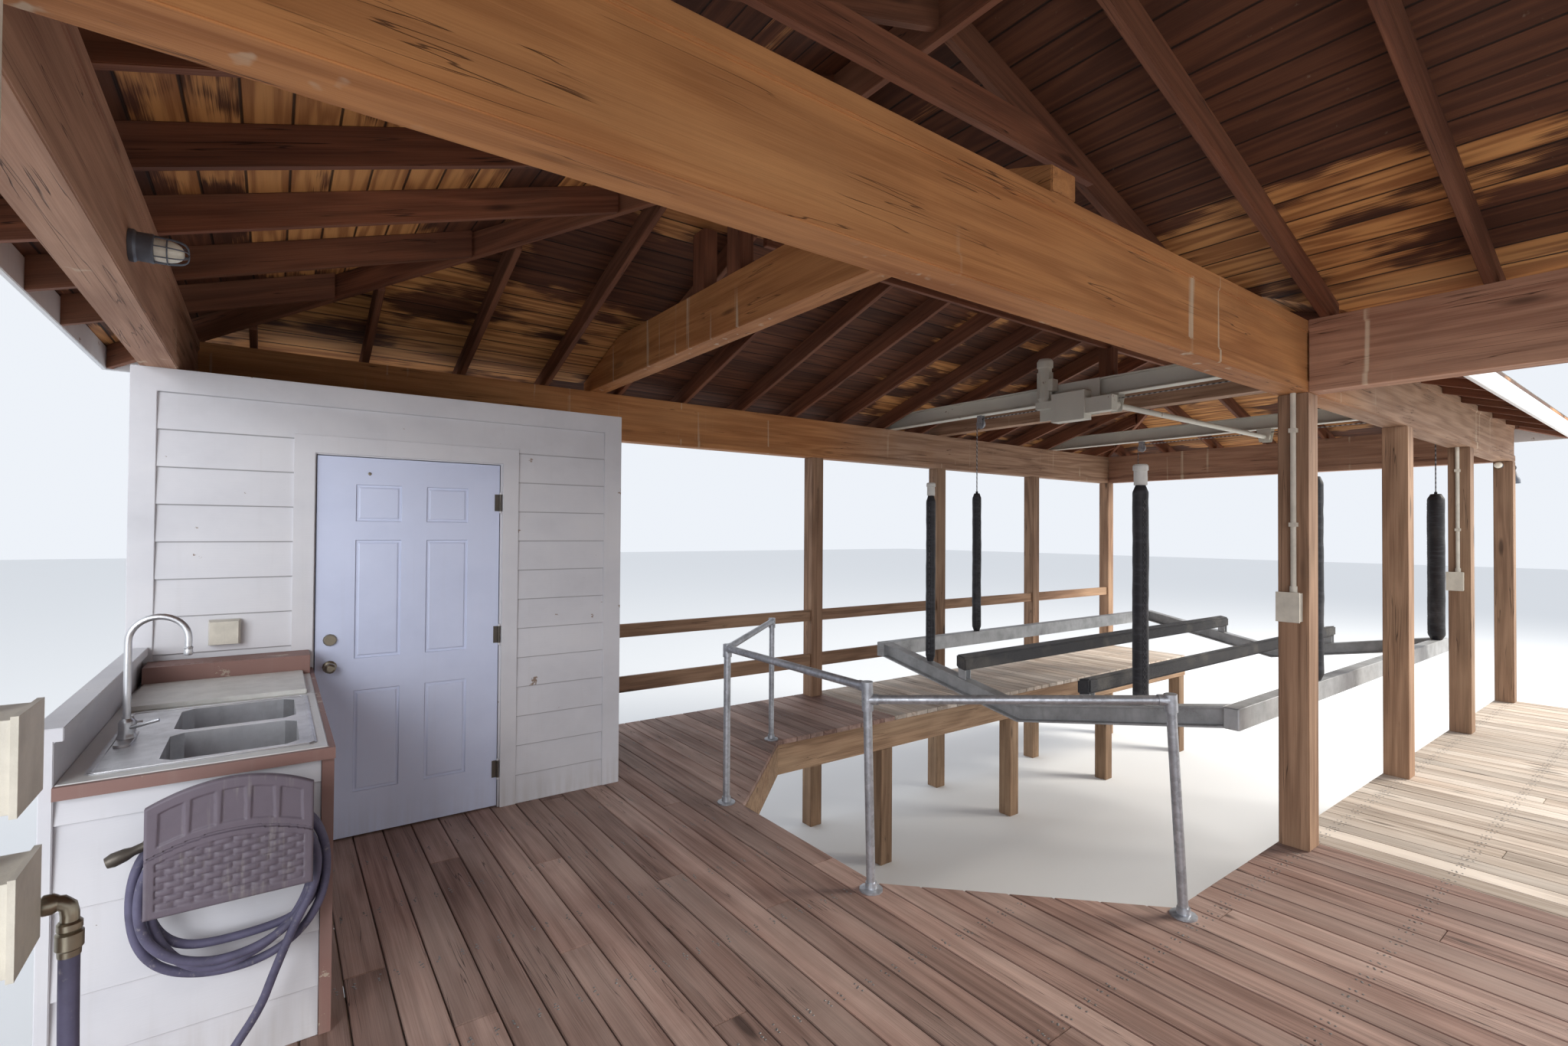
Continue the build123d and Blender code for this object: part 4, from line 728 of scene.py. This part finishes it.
# %% Other materials
def metal(name, colour, rough, metallic, rust, spots, spangle=0, brush=None):
    p = Paint(name)
    cloud = p.noise(6, 5, 0.62)
    fine = p.noise(90, 4, 0.65)
    tint = p.mix(cloud.ramp(0.3, 0.72), colour, dimmed(colour, 0.7))
    if spangle:
        leaf = p.split(p.cells(60, "Color"))[0]
        tint = p.scaled(tint, leaf * spangle + 1 - spangle / 2)
    height = fine * 0.4 + cloud * 0.5
    shine = cloud * 0.22 + fine * 0.12 + (rough - 0.17)
    if brush:
        scratch = p.noise(brush)
        height = height + scratch * 0.4
        shine = shine + scratch * 0.14 - 0.07
    spot = (cloud * 0.55 + fine * 0.5).ramp(0.6, 0.7) * spots
    grime = p.noise((17, 17, 5), 4, 0.6).ramp(0.52, 0.78) * 0.35
    tint = p.coats(tint, (grime, dimmed(colour, 0.42)), (spot, rust))
    p.finish(tint, shine + spot * 0.35, height, 0.0007, (spot * -0.8 + 1) * metallic)


def plastic(name, colour, rough, aged, depth=0.0006):
    p = Paint(name)
    cloud = p.noise(11, 5, 0.6)
    fine = p.noise(260, 3, 0.6)
    run = p.noise((60, 60, 4), 3, 0.6)
    tint = p.coats(
        p.mix(cloud.ramp(0.32, 0.72) * aged, colour, dimmed(colour, 0.62)),
        ((cloud * 0.4 + run * 0.6).ramp(0.52, 0.74) * aged, (0.5, 0.46, 0.4)),
    )
    shine = cloud * 0.25 + fine * 0.1 + (rough - 0.16)
    p.finish(tint, shine, fine * 0.5 + cloud * 0.4, depth, gloss=0.45)


metal("stainless", (0.74, 0.74, 0.76), 0.36, 0.92, (0.42, 0.36, 0.3), 0.1, brush=(300, 12, 12))
metal("galvanised", (0.5, 0.52, 0.56), 0.45, 0.75, (0.26, 0.2, 0.16), 0.25, 0.28)
metal("aluminium", (0.52, 0.53, 0.54), 0.52, 0.55, (0.24, 0.2, 0.17), 0.35, brush=(4, 160, 160))
metal("dark_bronze", (0.15, 0.13, 0.11), 0.45, 0.8, (0.1, 0.08, 0.06), 0.5)
metal("old_brass", (0.33, 0.29, 0.22), 0.38, 0.9, (0.1, 0.08, 0.06), 0.5)
metal("lamp_enamel", (0.16, 0.18, 0.22), 0.45, 0.4, (0.2, 0.12, 0.08), 0.5)
metal("bolt_heads", (0.3, 0.29, 0.28), 0.5, 0.8, (0.16, 0.09, 0.06), 0.9)
painted("lift_enamel", (0.66, 0.64, 0.56), (0.2, 0.12, 0.08), 0.48, 0.6, 0.35)
painted("laminate", (0.7, 0.69, 0.66), (0.4, 0.33, 0.26), 0.3, 0.7, 0.25)
plastic("aged_cream", (0.7, 0.65, 0.55), 0.45, 0.5)
plastic("cream_bowl", (0.86, 0.82, 0.7), 0.28, 0.35, 0.0004)
plastic("moulded_taupe", (0.15, 0.122, 0.15), 0.5, 0.35)
plastic("white_plastic", (0.72, 0.71, 0.67), 0.4, 0.4)
plastic("blue_grip", (0.05, 0.13, 0.36), 0.4, 0.3)
plastic("lace_cord", (0.1, 0.1, 0.11), 0.6, 0.5)

# Wire rope: strands that twist round whichever axis the wire follows
p = Paint("wire_rope")
uvw = u, v, w = p.split(p.attribute("grain", "Vector"))
twist = (u * 150 + v * 330).sin() * 0.5 + 0.5
cloud = p.noise(3, 4, 0.6, place=uvw)
# Painted shade: the grooves between the strands are near black, their crowns pale
tint = p.mix(twist, (0.06, 0.06, 0.065), (0.42, 0.42, 0.43))
tint = p.mix(cloud.ramp(0.5, 0.72) * 0.4, tint, (0.16, 0.1, 0.07))
p.finish(tint, 0.5 + cloud * 0.2, twist, 0.0012, 0.85)

# Black padded vinyl: fine grain, creases round it, painted darker in their hollows as shade and lighter on their
# ridges as highlight, and patches of dust
p = Paint("black_vinyl")
crease = p.noise((9, 9, 42), 4, 0.6)
cloud = p.noise((5, 5, 3), 4, 0.6)
# Painted shade and highlight: darker in the creases' hollows, lighter on their ridges
tint = p.mix(crease.ramp(0.45, 0.75), (0.012, 0.012, 0.016), (0.045, 0.045, 0.055))
tint = p.mix(cloud.ramp(0.5, 0.75) * 0.35, tint, (0.16, 0.15, 0.15))
p.finish(tint, 0.42 + crease * 0.25, p.cells(520) * 0.3 + crease * 1.2, 0.0012)

# Carpet with a rough pile
p = Paint("bunk_carpet")
pile = p.noise(420, 2, 0.7)
tint = p.mix(pile.ramp(0.3, 0.75), (0.012, 0.013, 0.015), (0.1, 0.1, 0.11))
tint = p.mix(p.noise(4, 5, 0.6).ramp(0.48, 0.75) * 0.5, tint, (0.22, 0.2, 0.17))
p.finish(tint, 0.97, pile * 0.6 + p.cells(130) * 0.8, 0.0035, gloss=0.15, sheen=0.25)

# The hose's cover, with scuffs and dust
colour = (0.115, 0.105, 0.175)
p = Paint("hose_rubber")
cloud = p.noise(14, 5, 0.62)
scuff = p.noise(70, 3, 0.6)
tint = p.mix(cloud.ramp(0.3, 0.72), colour, dimmed(colour, 0.66))
tint = p.mix((cloud * 0.4 + scuff * 0.6).ramp(0.56, 0.72) * 0.5, tint, (0.42, 0.38, 0.36))
p.finish(tint, 0.48 + cloud * 0.25, scuff * 0.5 + cloud * 0.5, 0.0009, gloss=0.45)
print("materials:", len(MAT))

# %% [markdown]
# ## Fittings
# The door, sink, rail and lift keep their CAD form, because it already has their panels,
# bowls and bends. Weighted normals let large faces stay flat, so that only the rounded
# edges shade smoothly. More segments would round them too, at many times the triangles.


# %% Fittings in their materials
def plain(name, mats, edge, slot, body="root", segments=2):
    """A fitting in its CAD form, shaded smoothly round its edges."""
    obj = dress(name, mats, edge, slot, body, 0.005, 0.6, segments)
    obj.data.shade_smooth()
    obj.data.set_sharp_from_angle(angle=radians(32))
    mod = obj.modifiers.new("weighted", "WEIGHTED_NORMAL")
    mod.keep_sharp, mod.weight = True, 80
    mesh = evaluated(obj)
    obj.modifiers.clear()
    obj.data = mesh
    return obj


# Node, material, edge in millimetres, slot, body, and whether it is timber with flat faces
for row in """
door_leaf paint_door 1.5 door_paint door
door_handle old_brass 1 old_brass door
door_hinges dark_bronze 0.6 old_brass door
counter_top laminate 3 counter_white root
counter_board white_plastic 3 counter_white root
counter_shelf paint_brown 2 shelf_brown root flat
sink stainless 1 stainless root
pipe_rail galvanised 1.5 galvanised root
pulleys galvanised 0.8 galvanised root
lift_beams lift_enamel 2 lift_paint root
lift_motor lift_enamel 2 lift_paint root
drive_tube lift_enamel 1.2 lift_paint root
cradle_arms aluminium 3 lift_metal cradle
cradle_cross aluminium 1.5 lift_metal cradle
cables wire_rope 0 wire_rope root
cable_runs wire_rope 0 wire_rope root
electrics aged_cream 1.5 box_plastic root
guide_caps white_plastic 1 cap_plastic cradle
nozzle dark_bronze 0.6 old_brass root
""".strip().split("\n"):
    node, mat, edge, slot, body, *flat = row.split()
    (dress if flat else plain)(node, mat, float(edge), slot, body)
print("fittings dressed")

# %% [markdown]
# ## Counter, hanger and bunks
# The case under the counter wears the same lap siding. The hose hanger is moulded plastic
# with a woven look on its lower panel. The bunks are boards wrapped in carpet. The weave
# is a height for each point of a grid, since bump alone looks flat from the side.

# %% Counter and hanger
CASE_LAPS = [1.3, 1.46, 1.64, 1.885, 2.125]
walled("counter_siding", "counter_case", [
    (-5.28, 1.135, -4.66, 1.135, 0, -1, DECK, 2.2), (-4.66, 1.135, -4.66, 2.745, 1, 0, DECK, 2.2),
], "paint_white", CASE_LAPS)
plain("counter_ledge", "paint_white", 2, "white_wood")

# A band round the top and a narrow corner board under it, with worn arrises
bm = bmesh.new()
prism(bm, [
    (-5.28, 1.115), (-5.28, 1.097), (-4.622, 1.097), (-4.622, 2.744), (-4.64, 2.744), (-4.64, 1.115),
], 2.201, 2.2375)
prism(bm, [
    (-4.658, 1.134), (-4.658, 1.117), (-4.624, 1.117), (-4.624, 1.205), (-4.644, 1.205), (-4.644, 1.134),
], 1.3, 2.201)
soften(bm, 0.003)
grain(bm)
put("counter_edge_look", bm, "paint_brown", "counter_edge")

HANG_X, HANG_Z = -4.88, 1.9
HALF, FACE_Y, BACK_Y = 0.194, 0.9465, 0.969
FLUTE, ROW, WEAVE = 0.0688, 0.0185, 0.043


def ledge(distance, width):
    """0 outside an edge and 1 once `width` inside it."""
    return min(max(distance / width, 0), 1)


def crown(u):
    """Height of the hanger's arched top at u across."""
    return 0.333 - 0.053 * (u / HALF) ** 2


def relief(u, v):
    """Height of the hanger's face at u across and v up: flutes over a woven panel."""
    top = crown(u)
    split = 0.183 - 0.046 * (u / HALF) ** 2
    height = -0.004 * (1 - ledge(min(HALF - abs(u), top - v, v + 0.025), 0.006)) ** 2
    if abs(v - split) < 0.004:
        return height - 0.0055
    if v > split:
        cell = (u + 0.172) / FLUTE % 1
        inside = min(cell, 1 - cell) * FLUTE - 0.0045 - 0.006 * (v - split - 0.03) * 4
        side = min(inside, v - split - 0.022, top - v - 0.03, 0.172 - abs(u))
        return height - 0.005 * ledge(side, 0.004)
    deep = ledge(min(0.172 - abs(u), v + 0.004, split - 0.02 - v), 0.003)
    if deep <= 0:
        return height
    row, fv = divmod((v + 0.004) / ROW, 1)
    fu = (u / WEAVE + 0.5 * (row % 2)) % 1
    bulge = (1 - (2 * fv - 1) ** 4) * (1 - abs(2 * fu - 1) ** 3)
    return height - 0.006 * deep + 0.0048 * bulge * deep


bm = bmesh.new()
cols, rows = 140, 126
grid = []
for k in range(rows + 1):
    line = []
    for i in range(cols + 1):
        u = -HALF + 2 * HALF * i / cols
        low, high = -0.025, crown(u)
        v = low + (high - low) * k / rows
        line.append(bm.verts.new((HANG_X + u, FACE_Y - relief(u, v), HANG_Z + v)))
    grid.append(line)
for low, high in zip(grid, grid[1:]):
    for i in range(cols):
        bm.faces.new((low[i], low[i + 1], high[i + 1], high[i]))
rim = grid[0] + [row[-1] for row in grid[1:-1]] + grid[-1][::-1] + [row[0] for row in grid[-2:0:-1]]
back = [bm.verts.new((v.co.x, BACK_Y, v.co.z)) for v in rim]
for i in range(len(rim)):
    j = (i + 1) % len(rim)
    bm.faces.new((rim[i], back[i], back[j], rim[j]))
bm.faces.new(back[::-1])
grain(bm)
put("hanger_face", bm, "moulded_taupe", "hose_hanger", smooth=50)

# The saddle behind the face and the plate on the wall
bm = bmesh.new()
rings = []
for y, a, b in ((0.9695, 0.158, 0.178), (1.128, 0.158, 0.178), (1.1345, 0.165, 0.185)):
    rings.append([bm.verts.new((HANG_X + a * c, y, HANG_Z + max(b * s, 0.095))) for c, s in circle(48)])
bridge(bm, rings)
bmesh.ops.remove_doubles(bm, verts=bm.verts, dist=1e-5)
face_out(bm)
grain(bm, (0, 1, 0))
put("hanger_saddle", bm, "moulded_taupe", smooth=40)
plain("bunks", "bunk_carpet", 12, "bunk_carpet", "cradle", 4)
print("counter, hanger and bunks dressed")

# %% [markdown]
# ## Padded sleeves
# Each sleeve is a quilted vinyl tube, laced along its back. Its wall bulges between
# creases, and it narrows where it is tied at both ends. Cloth simulation could crease it,
# but a narrow stiff tube hardly hangs, so a few sines are enough.

# %% Sleeves
ARM_TOP, SLEEVE_FOOT, SLEEVE_TOP, GUIDE_TOP = 2.01, 1.925, 3.34, 3.255
WIRE = 0.0115


def wave(angle, z, seed):
    total = 0
    for n in range(1, 6):
        total += sin(angle * n + seed * 1.7 * n + sin(z * (5 + 3 * n) + seed * n) * 1.6) / n
        total += sin(z * (17 + 11 * n) + seed * 2.3 * n + 1.4 * sin(angle * (1 + n % 3) + seed)) / (n + 1)
    return total / 4.5


# Place, radius, foot, top and seed: two on the guide posts, then four round the cables.
# The seed sets the creases, and also the angle of the laced seam.
pads = [
    (-0.51, 1.375 - 0.845, 0.05, SLEEVE_FOOT, GUIDE_TOP, 4.1),
    (-0.51, 1.375 + 0.845, 0.042, SLEEVE_FOOT, GUIDE_TOP, 3.6),
    (0.72, 0.01, 0.05, ARM_TOP, SLEEVE_TOP, 2.4), (0.72, 2.74, 0.046, ARM_TOP, SLEEVE_TOP, 4.4),
    (3.8, 0.01, 0.066, ARM_TOP, SLEEVE_TOP, 2.2), (3.8, 2.74, 0.05, ARM_TOP, SLEEVE_TOP, 4.6),
]
for n, (x, y, radius, z0, z1, seed) in enumerate(pads):
    bm = bmesh.new()
    count, rows = 36, max(8, int((z1 - z0) / 0.014))
    rings = []
    for k in range(rows + 1):
        s = k / rows
        z = z0 + (z1 - z0) * s
        tie = min(1, 0.62 + 0.38 * min(s * (z1 - z0), (1 - s) * (z1 - z0)) / 0.045)
        ring = []
        for i in range(count):
            angle = 2 * pi * i / count
            back = math.exp(-((math.remainder(angle - seed, 2 * pi)) / 0.16) ** 2)
            r = min((radius - 0.0045 + 0.0038 * wave(angle, z, seed)) * tie - 0.004 * back, radius - 0.0004)
            ring.append(bm.verts.new((x + r * cos(angle), y + r * sin(angle), z)))
        rings.append(ring)
    if z1 > GUIDE_TOP:
        for z in (z1 + 0.003, z1 + 0.0195):
            rings.append([bm.verts.new((x + WIRE * c, y + WIRE * s, z)) for c, s in circle(count)])
    bridge(bm, rings)
    grain(bm, (0, 0, 1))
    node = "" if n else "sleeves"
    made = put("sleeve_%d" % n, bm, "black_vinyl", node, "cradle", 180)

# Crossed laces along the seam of each sleeve
bm = bmesh.new()
for x, y, radius, z0, z1, seed in pads:
    reach = radius * 0.965
    z = z0 + 0.06
    while z < z1 - 0.08:
        for way in (-0.2, 0.2):
            a = Vector((x + reach * cos(seed - way), y + reach * sin(seed - way), z))
            b = Vector((x + reach * cos(seed + way), y + reach * sin(seed + way), z + 0.032))
            turn = (b - a).normalized().to_track_quat("Z", "Y").to_matrix().to_4x4()
            bmesh.ops.create_cone(
                bm, cap_ends=True, segments=6, radius1=0.0014, radius2=0.0014, depth=(b - a).length,
                matrix=Matrix.Translation((a + b) / 2) @ turn,
            )
        z += 0.046
grain(bm)
put("sleeve_laces", bm, "lace_cord", "", "cradle")
print("sleeves padded")

# %% [markdown]
# ## Turned fittings
# The tap, the hose valve and the lamps are turned profiles and bent tubes, rounder and
# finer than the plain CAD forms that they stand for. A Screw modifier turns a profile too,
# but here a whole profile is one line of numbers.


# %% Turned fittings
def lathe(bm, start, way, profile, mat=0):
    """Turns a profile round an axis: radius and distance in millimetres, in pairs. A radius
    of 0 closes it."""
    turn = Vector(way).to_track_quat("Z", "Y").to_matrix()
    numbers = [float(n) / 1000 for n in profile.split()]
    rings = []
    for r, d in zip(numbers[::2], numbers[1::2]):
        spots = [(r * c, r * s, d) for c, s in circle(32)] if r > 0 else [(0, 0, d)]
        rings.append([bm.verts.new(Vector(start) + turn @ Vector(p)) for p in spots])
    bridge(bm, rings, mat)


def tube(bm, points, radius, mat=0, count=16):
    """A round bar along a list of points, mitred at each one."""
    spots = [Vector(p) for p in points]
    rings = []
    side = None
    for p, a, b in zip(spots, spots[:1] + spots, spots[1:] + spots[-1:]):
        way = (b - a).normalized()
        side = way.orthogonal().normalized() if side is None else (side - way * side.dot(way)).normalized()
        other = way.cross(side)
        rings.append([bm.verts.new(p + side * radius * c + other * radius * s) for c, s in circle(count)])
    bridge(bm, rings, mat)


def fitting(name, bm, mats, node):
    face_out(bm)
    grain(bm)
    put(name, bm, mats, node, smooth=35)


def tap_at(x, y, z):
    return (-5.186 + x, 1.56 + y, 2.2435 + z)


# Tap: plate, post, swan neck, spout ring, lever and the small side handle
bm = bmesh.new()
plate = []
for c, s in circle(28):
    x, y, z = tap_at(0.022 * c, 0.085 * copysign(1, s) * (abs(s) > 1e-9), 0)
    plate.append((x, y + 0.022 * s))
prism(bm, plate, z, tap_at(0, 0, 0.008)[2])
lathe(bm, tap_at(0, 0, 0.006), (0, 0, 1), "26 0  26 6  22.5 12  21 20  21 52  18.5 60  12.5 66  12.5 74")
bend, rise = 0.078, 0.33
neck = [tap_at(0, 0, 0.07), tap_at(0, 0, 0.2), tap_at(0, 0, rise)]
for i in range(1, 17):
    t = pi * (1 - i / 16)
    neck.append(tap_at(bend + bend * cos(t), -0.0006 * i, rise + bend * sin(t)))
neck.append(tap_at(2 * bend, -0.0098, rise - 0.035))
tube(bm, neck, 0.0105)
lathe(bm, tap_at(2 * bend, -0.0098, rise - 0.03), (0, 0, -1), "11 0  13 2  13 6  11.8 8  12.8 14  12.8 26  11 30")
tube(bm, [tap_at(0, -0.01, 0.04), tap_at(0.03, -0.02, 0.047), tap_at(0.085, -0.03, 0.062)], 0.0062, 0, 12)
lathe(bm, tap_at(0.002, 0.1, 0.0005), (0, 0, 1), "17 0  17 4  11 10  9 26  13.5 30  13.5 42  8 47  4 60  0 61")
tube(bm, [tap_at(-0.014, 0.1, 0.037), tap_at(0.03, 0.1, 0.037)], 0.004, 0, 10)
fitting("tap_look", bm, "stainless", "tap")

# Hose valve on its riser, with a blue lever
RX, RY, VX, VZ = -5.2, -0.142, -5.04, 2.39


def valve_at(x, z):
    return (VX + x, RY, VZ + z)


bm = bmesh.new()
lathe(bm, (RX, RY, 1.3005), (0, 0, 1), "13.3 0  13.3 1055  17 1058  17.5 1068  17 1108  12 1113", 1)
tube(bm, [(RX, RY, VZ), valve_at(-0.078, 0)], 0.0105, 1)
body = "14.5 0  15 2  15 14  12 17  15 24  15.8 34  15 44  12 50  15 53  15 64  11 70"
lathe(bm, valve_at(-0.082, 0), (1, 0, 0), body)
elbow = [(-0.02, 0), (-0.009, -0.001), (-0.002, -0.008), (0, -0.02), (0, -0.04)]
tube(bm, [valve_at(x, z) for x, z in elbow], 0.0112)
lathe(bm, valve_at(0, -0.03), (0, 0, -1), "12.5 0  15 3  15 12  12.8 15  16.5 18  16.5 40  14 43  13.6 52")
lathe(bm, valve_at(-0.045, 0.012), (0, 0, 1), "6 0  6 10  4.5 12  4.5 20  0 21")
lever = [(-0.118, 0.027), (-0.08, 0.027), (-0.06, 0.0235), (-0.04, 0.0235)]
tube(bm, [valve_at(x, z) for x, z in lever], 0.0042, 2, 10)
old = set(bm.faces)
for z in (1.65, 2.2):
    x0, x1, y0, y1 = RX - 0.018, RX + 0.018, -0.1595, -0.1285
    prism(bm, [(x0, y0), (x1, y0), (x1, y1), (x0, y1)], z, z + 0.018)
for face in set(bm.faces) - old:
    face.material_index = 1
fitting("valve_look", bm, "old_brass galvanised blue_grip", "valve")

# Lamps: a caged lamp with a cream bowl, a shaded one and a bare bulb
LX, LY, LZ, LAMP_Z = -5.178, 1.365, 3.85, 3.71
bm = bmesh.new()
lathe(bm, (LX + 0.0005, LY, LZ), (1, 0, 0), "50 0  51 3  51 13  45 20  45.5 52  47 56  46 60  35 61")
lathe(bm, (LX + 0.0595, LY, LZ), (1, 0, 0), "34 0  35.5 10  36 26  34.5 42  30 57  22 68  11 74.5  0 76", 1)
hoop = circle(32)
tube(bm, [(LX + 0.094, LY + 0.0415 * c, LZ + 0.0415 * s) for c, s in hoop + hoop[:1]], 0.0021, 0, 8)
for k in range(4):
    t = pi * k / 4
    bars = []
    for i in range(21):
        s = -1 + 2 * i / 20
        reach = 0.043 * copysign(1 - (1 - abs(s)) ** 2.2, s)
        bars.append((LX + 0.056 + 0.09 * (1 - abs(s) ** 3), LY + reach * cos(t), LZ + reach * sin(t)))
    tube(bm, bars, 0.002, 0, 8)
lathe(bm, (5.3105, -0.27, LAMP_Z - 0.06), (1, 0, 0), "38 0  38 3  30 8")
arm = [(5.314, -0.06), (5.385, -0.058), (5.399, -0.062), (5.405, -0.072), (5.405, -0.08)]
tube(bm, [(x, -0.27, LAMP_Z + z) for x, z in arm], 0.0085)
shade = "0 0  18 1  20 10  22 28  29 50  40 78  53 112  55 150  53.5 150  51.5 112  38 80  24 56  0 50"
lathe(bm, (5.405, -0.27, LAMP_Z - 0.062), (0, 0, -1), shade)
bulb = (5.17, -0.21, LAMP_Z - 0.04)
lathe(bm, bulb, (-1, 0, 0), "26 0.5  26 10  19 13  19 44  15 48")
lathe(bm, bulb, (-1, 0, 0), "14 47  18 54  26 66  31.5 82  30 98  20 111  0 116.5", 1)
fitting("lamps_look", bm, "lamp_enamel cream_bowl", "cage_lamp")
print("tap, valve and lamps turned")

# %% [markdown]
# ## Deck screws
# One Geometry Nodes group sets a small head on every point. Each board is screwed to each
# joist, near both of its edges. A loop could copy a head as well, but the group keeps its
# size and sides as named inputs.

# %% Deck screws
heads = bpy.data.node_groups.new("heads", "GeometryNodeTree")
heads.interface.new_socket("Heads", in_out="OUTPUT", socket_type="NodeSocketGeometry")
for name, kind in (
    ("Points", "Geometry"), ("Radius", "Float"), ("Height", "Float"), ("Sides", "Int"), ("Material", "Material"),
):
    heads.interface.new_socket(name, in_out="INPUT", socket_type="NodeSocket" + kind)
nodes = {key: heads.nodes.new(kind) for key, kind in {
    "in": "NodeGroupInput", "shrink": "ShaderNodeMath", "cone": "GeometryNodeMeshCone",
    "spots": "GeometryNodeMeshToPoints", "place": "GeometryNodeInstanceOnPoints",
    "real": "GeometryNodeRealizeInstances", "coat": "GeometryNodeSetMaterial", "out": "NodeGroupOutput",
}.items()}
nodes["shrink"].operation = "MULTIPLY"
nodes["shrink"].inputs[1].default_value = 0.72
for source, output, target, slot in (
    ("in", "Radius", "shrink", 0), ("shrink", 0, "cone", "Radius Top"), ("in", "Radius", "cone", "Radius Bottom"),
    ("in", "Height", "cone", "Depth"), ("in", "Sides", "cone", "Vertices"), ("in", "Points", "spots", "Mesh"),
    ("spots", 0, "place", "Points"), ("cone", "Mesh", "place", "Instance"), ("place", 0, "real", 0),
    ("real", 0, "coat", "Geometry"), ("in", "Material", "coat", "Material"), ("coat", 0, "out", 0),
):
    heads.links.new(nodes[source].outputs[output], nodes[target].inputs[slot])

screws = []
bm = cad("joists", False)
for group in islands(bm):
    xs, ys = [v.co.x for v in group], [v.co.y for v in group]
    if max(xs) - min(xs) < 0.4:
        continue
    middle = (min(ys) + max(ys)) / 2
    k = math.ceil((min(xs) - SLIP_END) / PITCH)
    while SLIP_END + (k + 1) * PITCH < max(xs):
        for share in (0.2, 0.8):
            x = SLIP_END + (k + share) * PITCH + draw(-0.006, 0.006)
            screws.append((x, middle + draw(-0.005, 0.005), DECK + 0.0002))
        k += 1
mesh = bpy.data.meshes.new("screw_points")
mesh.from_pydata(screws, [], [])
obj = add("screw_points", mesh)
mod = obj.modifiers.new("heads", "NODES")
mod.node_group = heads
values = {"Radius": 0.0042, "Height": 0.0012, "Sides": 8, "Material": MAT["bolt_heads"]}
for socket in heads.interface.items_tree:
    if socket.name in values:
        mod[socket.identifier] = values[socket.name]
made = evaluated(obj)
bpy.data.objects.remove(obj)
put("deck_screws", made, "bolt_heads")
print("screws:", len(screws))

# %% [markdown]
# ## The hose
# One cord from the valve to the nozzle: it drops from the valve, lies over the deck, rises to
# the hanger and winds four and a half turns over the saddle. The turns differ in how far
# they hang, and the last one lies over the others. A simulation could drape the hose, but
# a drawn route can follow the turns in the photograph.

# %% Hose
HANG_Y = 1.11
route = [
    (-5.04, -0.142, 2.316), (-5.04, -0.142, 2.1), (-5.03, -0.128, 1.85), (-5.014, -0.096, 1.62),
    (-4.992, -0.04, 1.446), (-4.967, 0.045, 1.35), (-4.941, 0.158, 1.313), (-4.915, 0.29, 1.313),
    (-4.905, 0.44, 1.313), (-4.932, 0.6, 1.313), (-4.94, 0.735, 1.313), (-4.943, 0.85, 1.316),
    (-4.927, 0.935, 1.345), (-4.886, 0.99, 1.405), (-4.811, 1.01, 1.505), (-4.78, 1.01, 1.6),
]
# Each turn from its lowest point on: half width, height, drop and place in front
TURNS = [
    (0.212, 0.1975, 0.212, -0.1), (0.192, 0.1975, 0.246, -0.074), (0.205, 0.198, 0.186, -0.046),
    (0.236, 0.224, 0.282, -0.046), (0.236, 0.225, 0.282, -0.075),
]
SQUARE, LOOSE = 0.88, 0.006
start_turn, end_turn, steps = radians(-42), radians(4 * 360 + 122), 70
for i in range(steps + 1):
    turn = start_turn + (end_turn - start_turn) * i / steps
    whole = (turn + pi / 2) / (2 * pi)
    k = min(int(whole), 4)
    share = min(1, (whole - k) / 0.3)
    share = share * share * (3 - 2 * share)
    before = TURNS[max(k - 1, 0)]
    wide, h, d, y = [p + (q - p) * share for p, q in zip(before, TURNS[k])]
    c, n = cos(turn), sin(turn)
    loose = LOOSE * max(0, 0.35 - n)
    px = wide * copysign(abs(c) ** SQUARE, c) + loose * sin(3 * turn + 2 * k)
    pz = (h if n > 0 else d) * copysign(abs(n) ** SQUARE, n) + loose * cos(2 * turn + k)
    route.append((HANG_X + px, HANG_Y + y, HANG_Z + pz))
route.append((-5.066, 1.031, 2.059))
curve = bpy.data.curves.new("hose", "CURVE")
curve.dimensions = "3D"
curve.bevel_resolution, curve.resolution_u = 5, 8
curve.materials.append(MAT["hose_rubber"])
spline = curve.splines.new("NURBS")
spline.points.add(len(route) - 1)
for spot, place in zip(spline.points, route):
    spot.co = (*place, 1)
spline.order_u = 3
spline.use_endpoint_u = True
hose = add("hose", curve)
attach(hose, "root")
line = bpy.data.meshes.new_from_object(hose)
curve.bevel_depth = 0.0125
curve.use_fill_caps = True
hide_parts("hose_coil", "hose_end")

# %% [markdown]
# ## Light and floor
# A pale floor and sky, one broad soft light from the right, as in the photograph,
# and a weak fill from behind the camera. A picture of a sky could light it too, but plain
# lights make the materials easy to judge.

# %% Light and floor
world = bpy.data.worlds.new("world")
bpy.context.scene.world = world
world.use_nodes = True
sky, strength = world.node_tree.nodes["Background"].inputs[:2]
sky.default_value, strength.default_value = (0.9, 0.94, 1, 1), 0.95


def lamp(name, place, target, size, power, colour):
    data = bpy.data.lights.new(name, "AREA")
    data.shape, data.size, data.energy, data.color = "SQUARE", size, power, colour
    obj = add(name, data)
    obj.location = place
    obj.rotation_euler = (Vector(target) - Vector(place)).to_track_quat("-Z", "Y").to_euler()


lamp("key", (15, -9, 13), (2, -1, 1), 7, 5200, (1, 0.95, 0.86))
lamp("fill", (-12, -10, 6), (-1, 0, 2), 8, 1400, (0.93, 0.96, 1))
floor_mesh = bpy.data.meshes.new("floor")
floor_mesh.from_pydata([(-90, -90, 0), (90, -90, 0), (90, 90, 0), (-90, 90, 0)], [], [(0, 1, 2, 3)])
floor = add("floor", floor_mesh)
Paint("floor").finish((0.78, 0.79, 0.8, 1), 0.9)
floor_mesh.materials.append(MAT["floor"])
bpy.context.scene.view_settings.view_transform = "Standard"
print("lights and floor set")
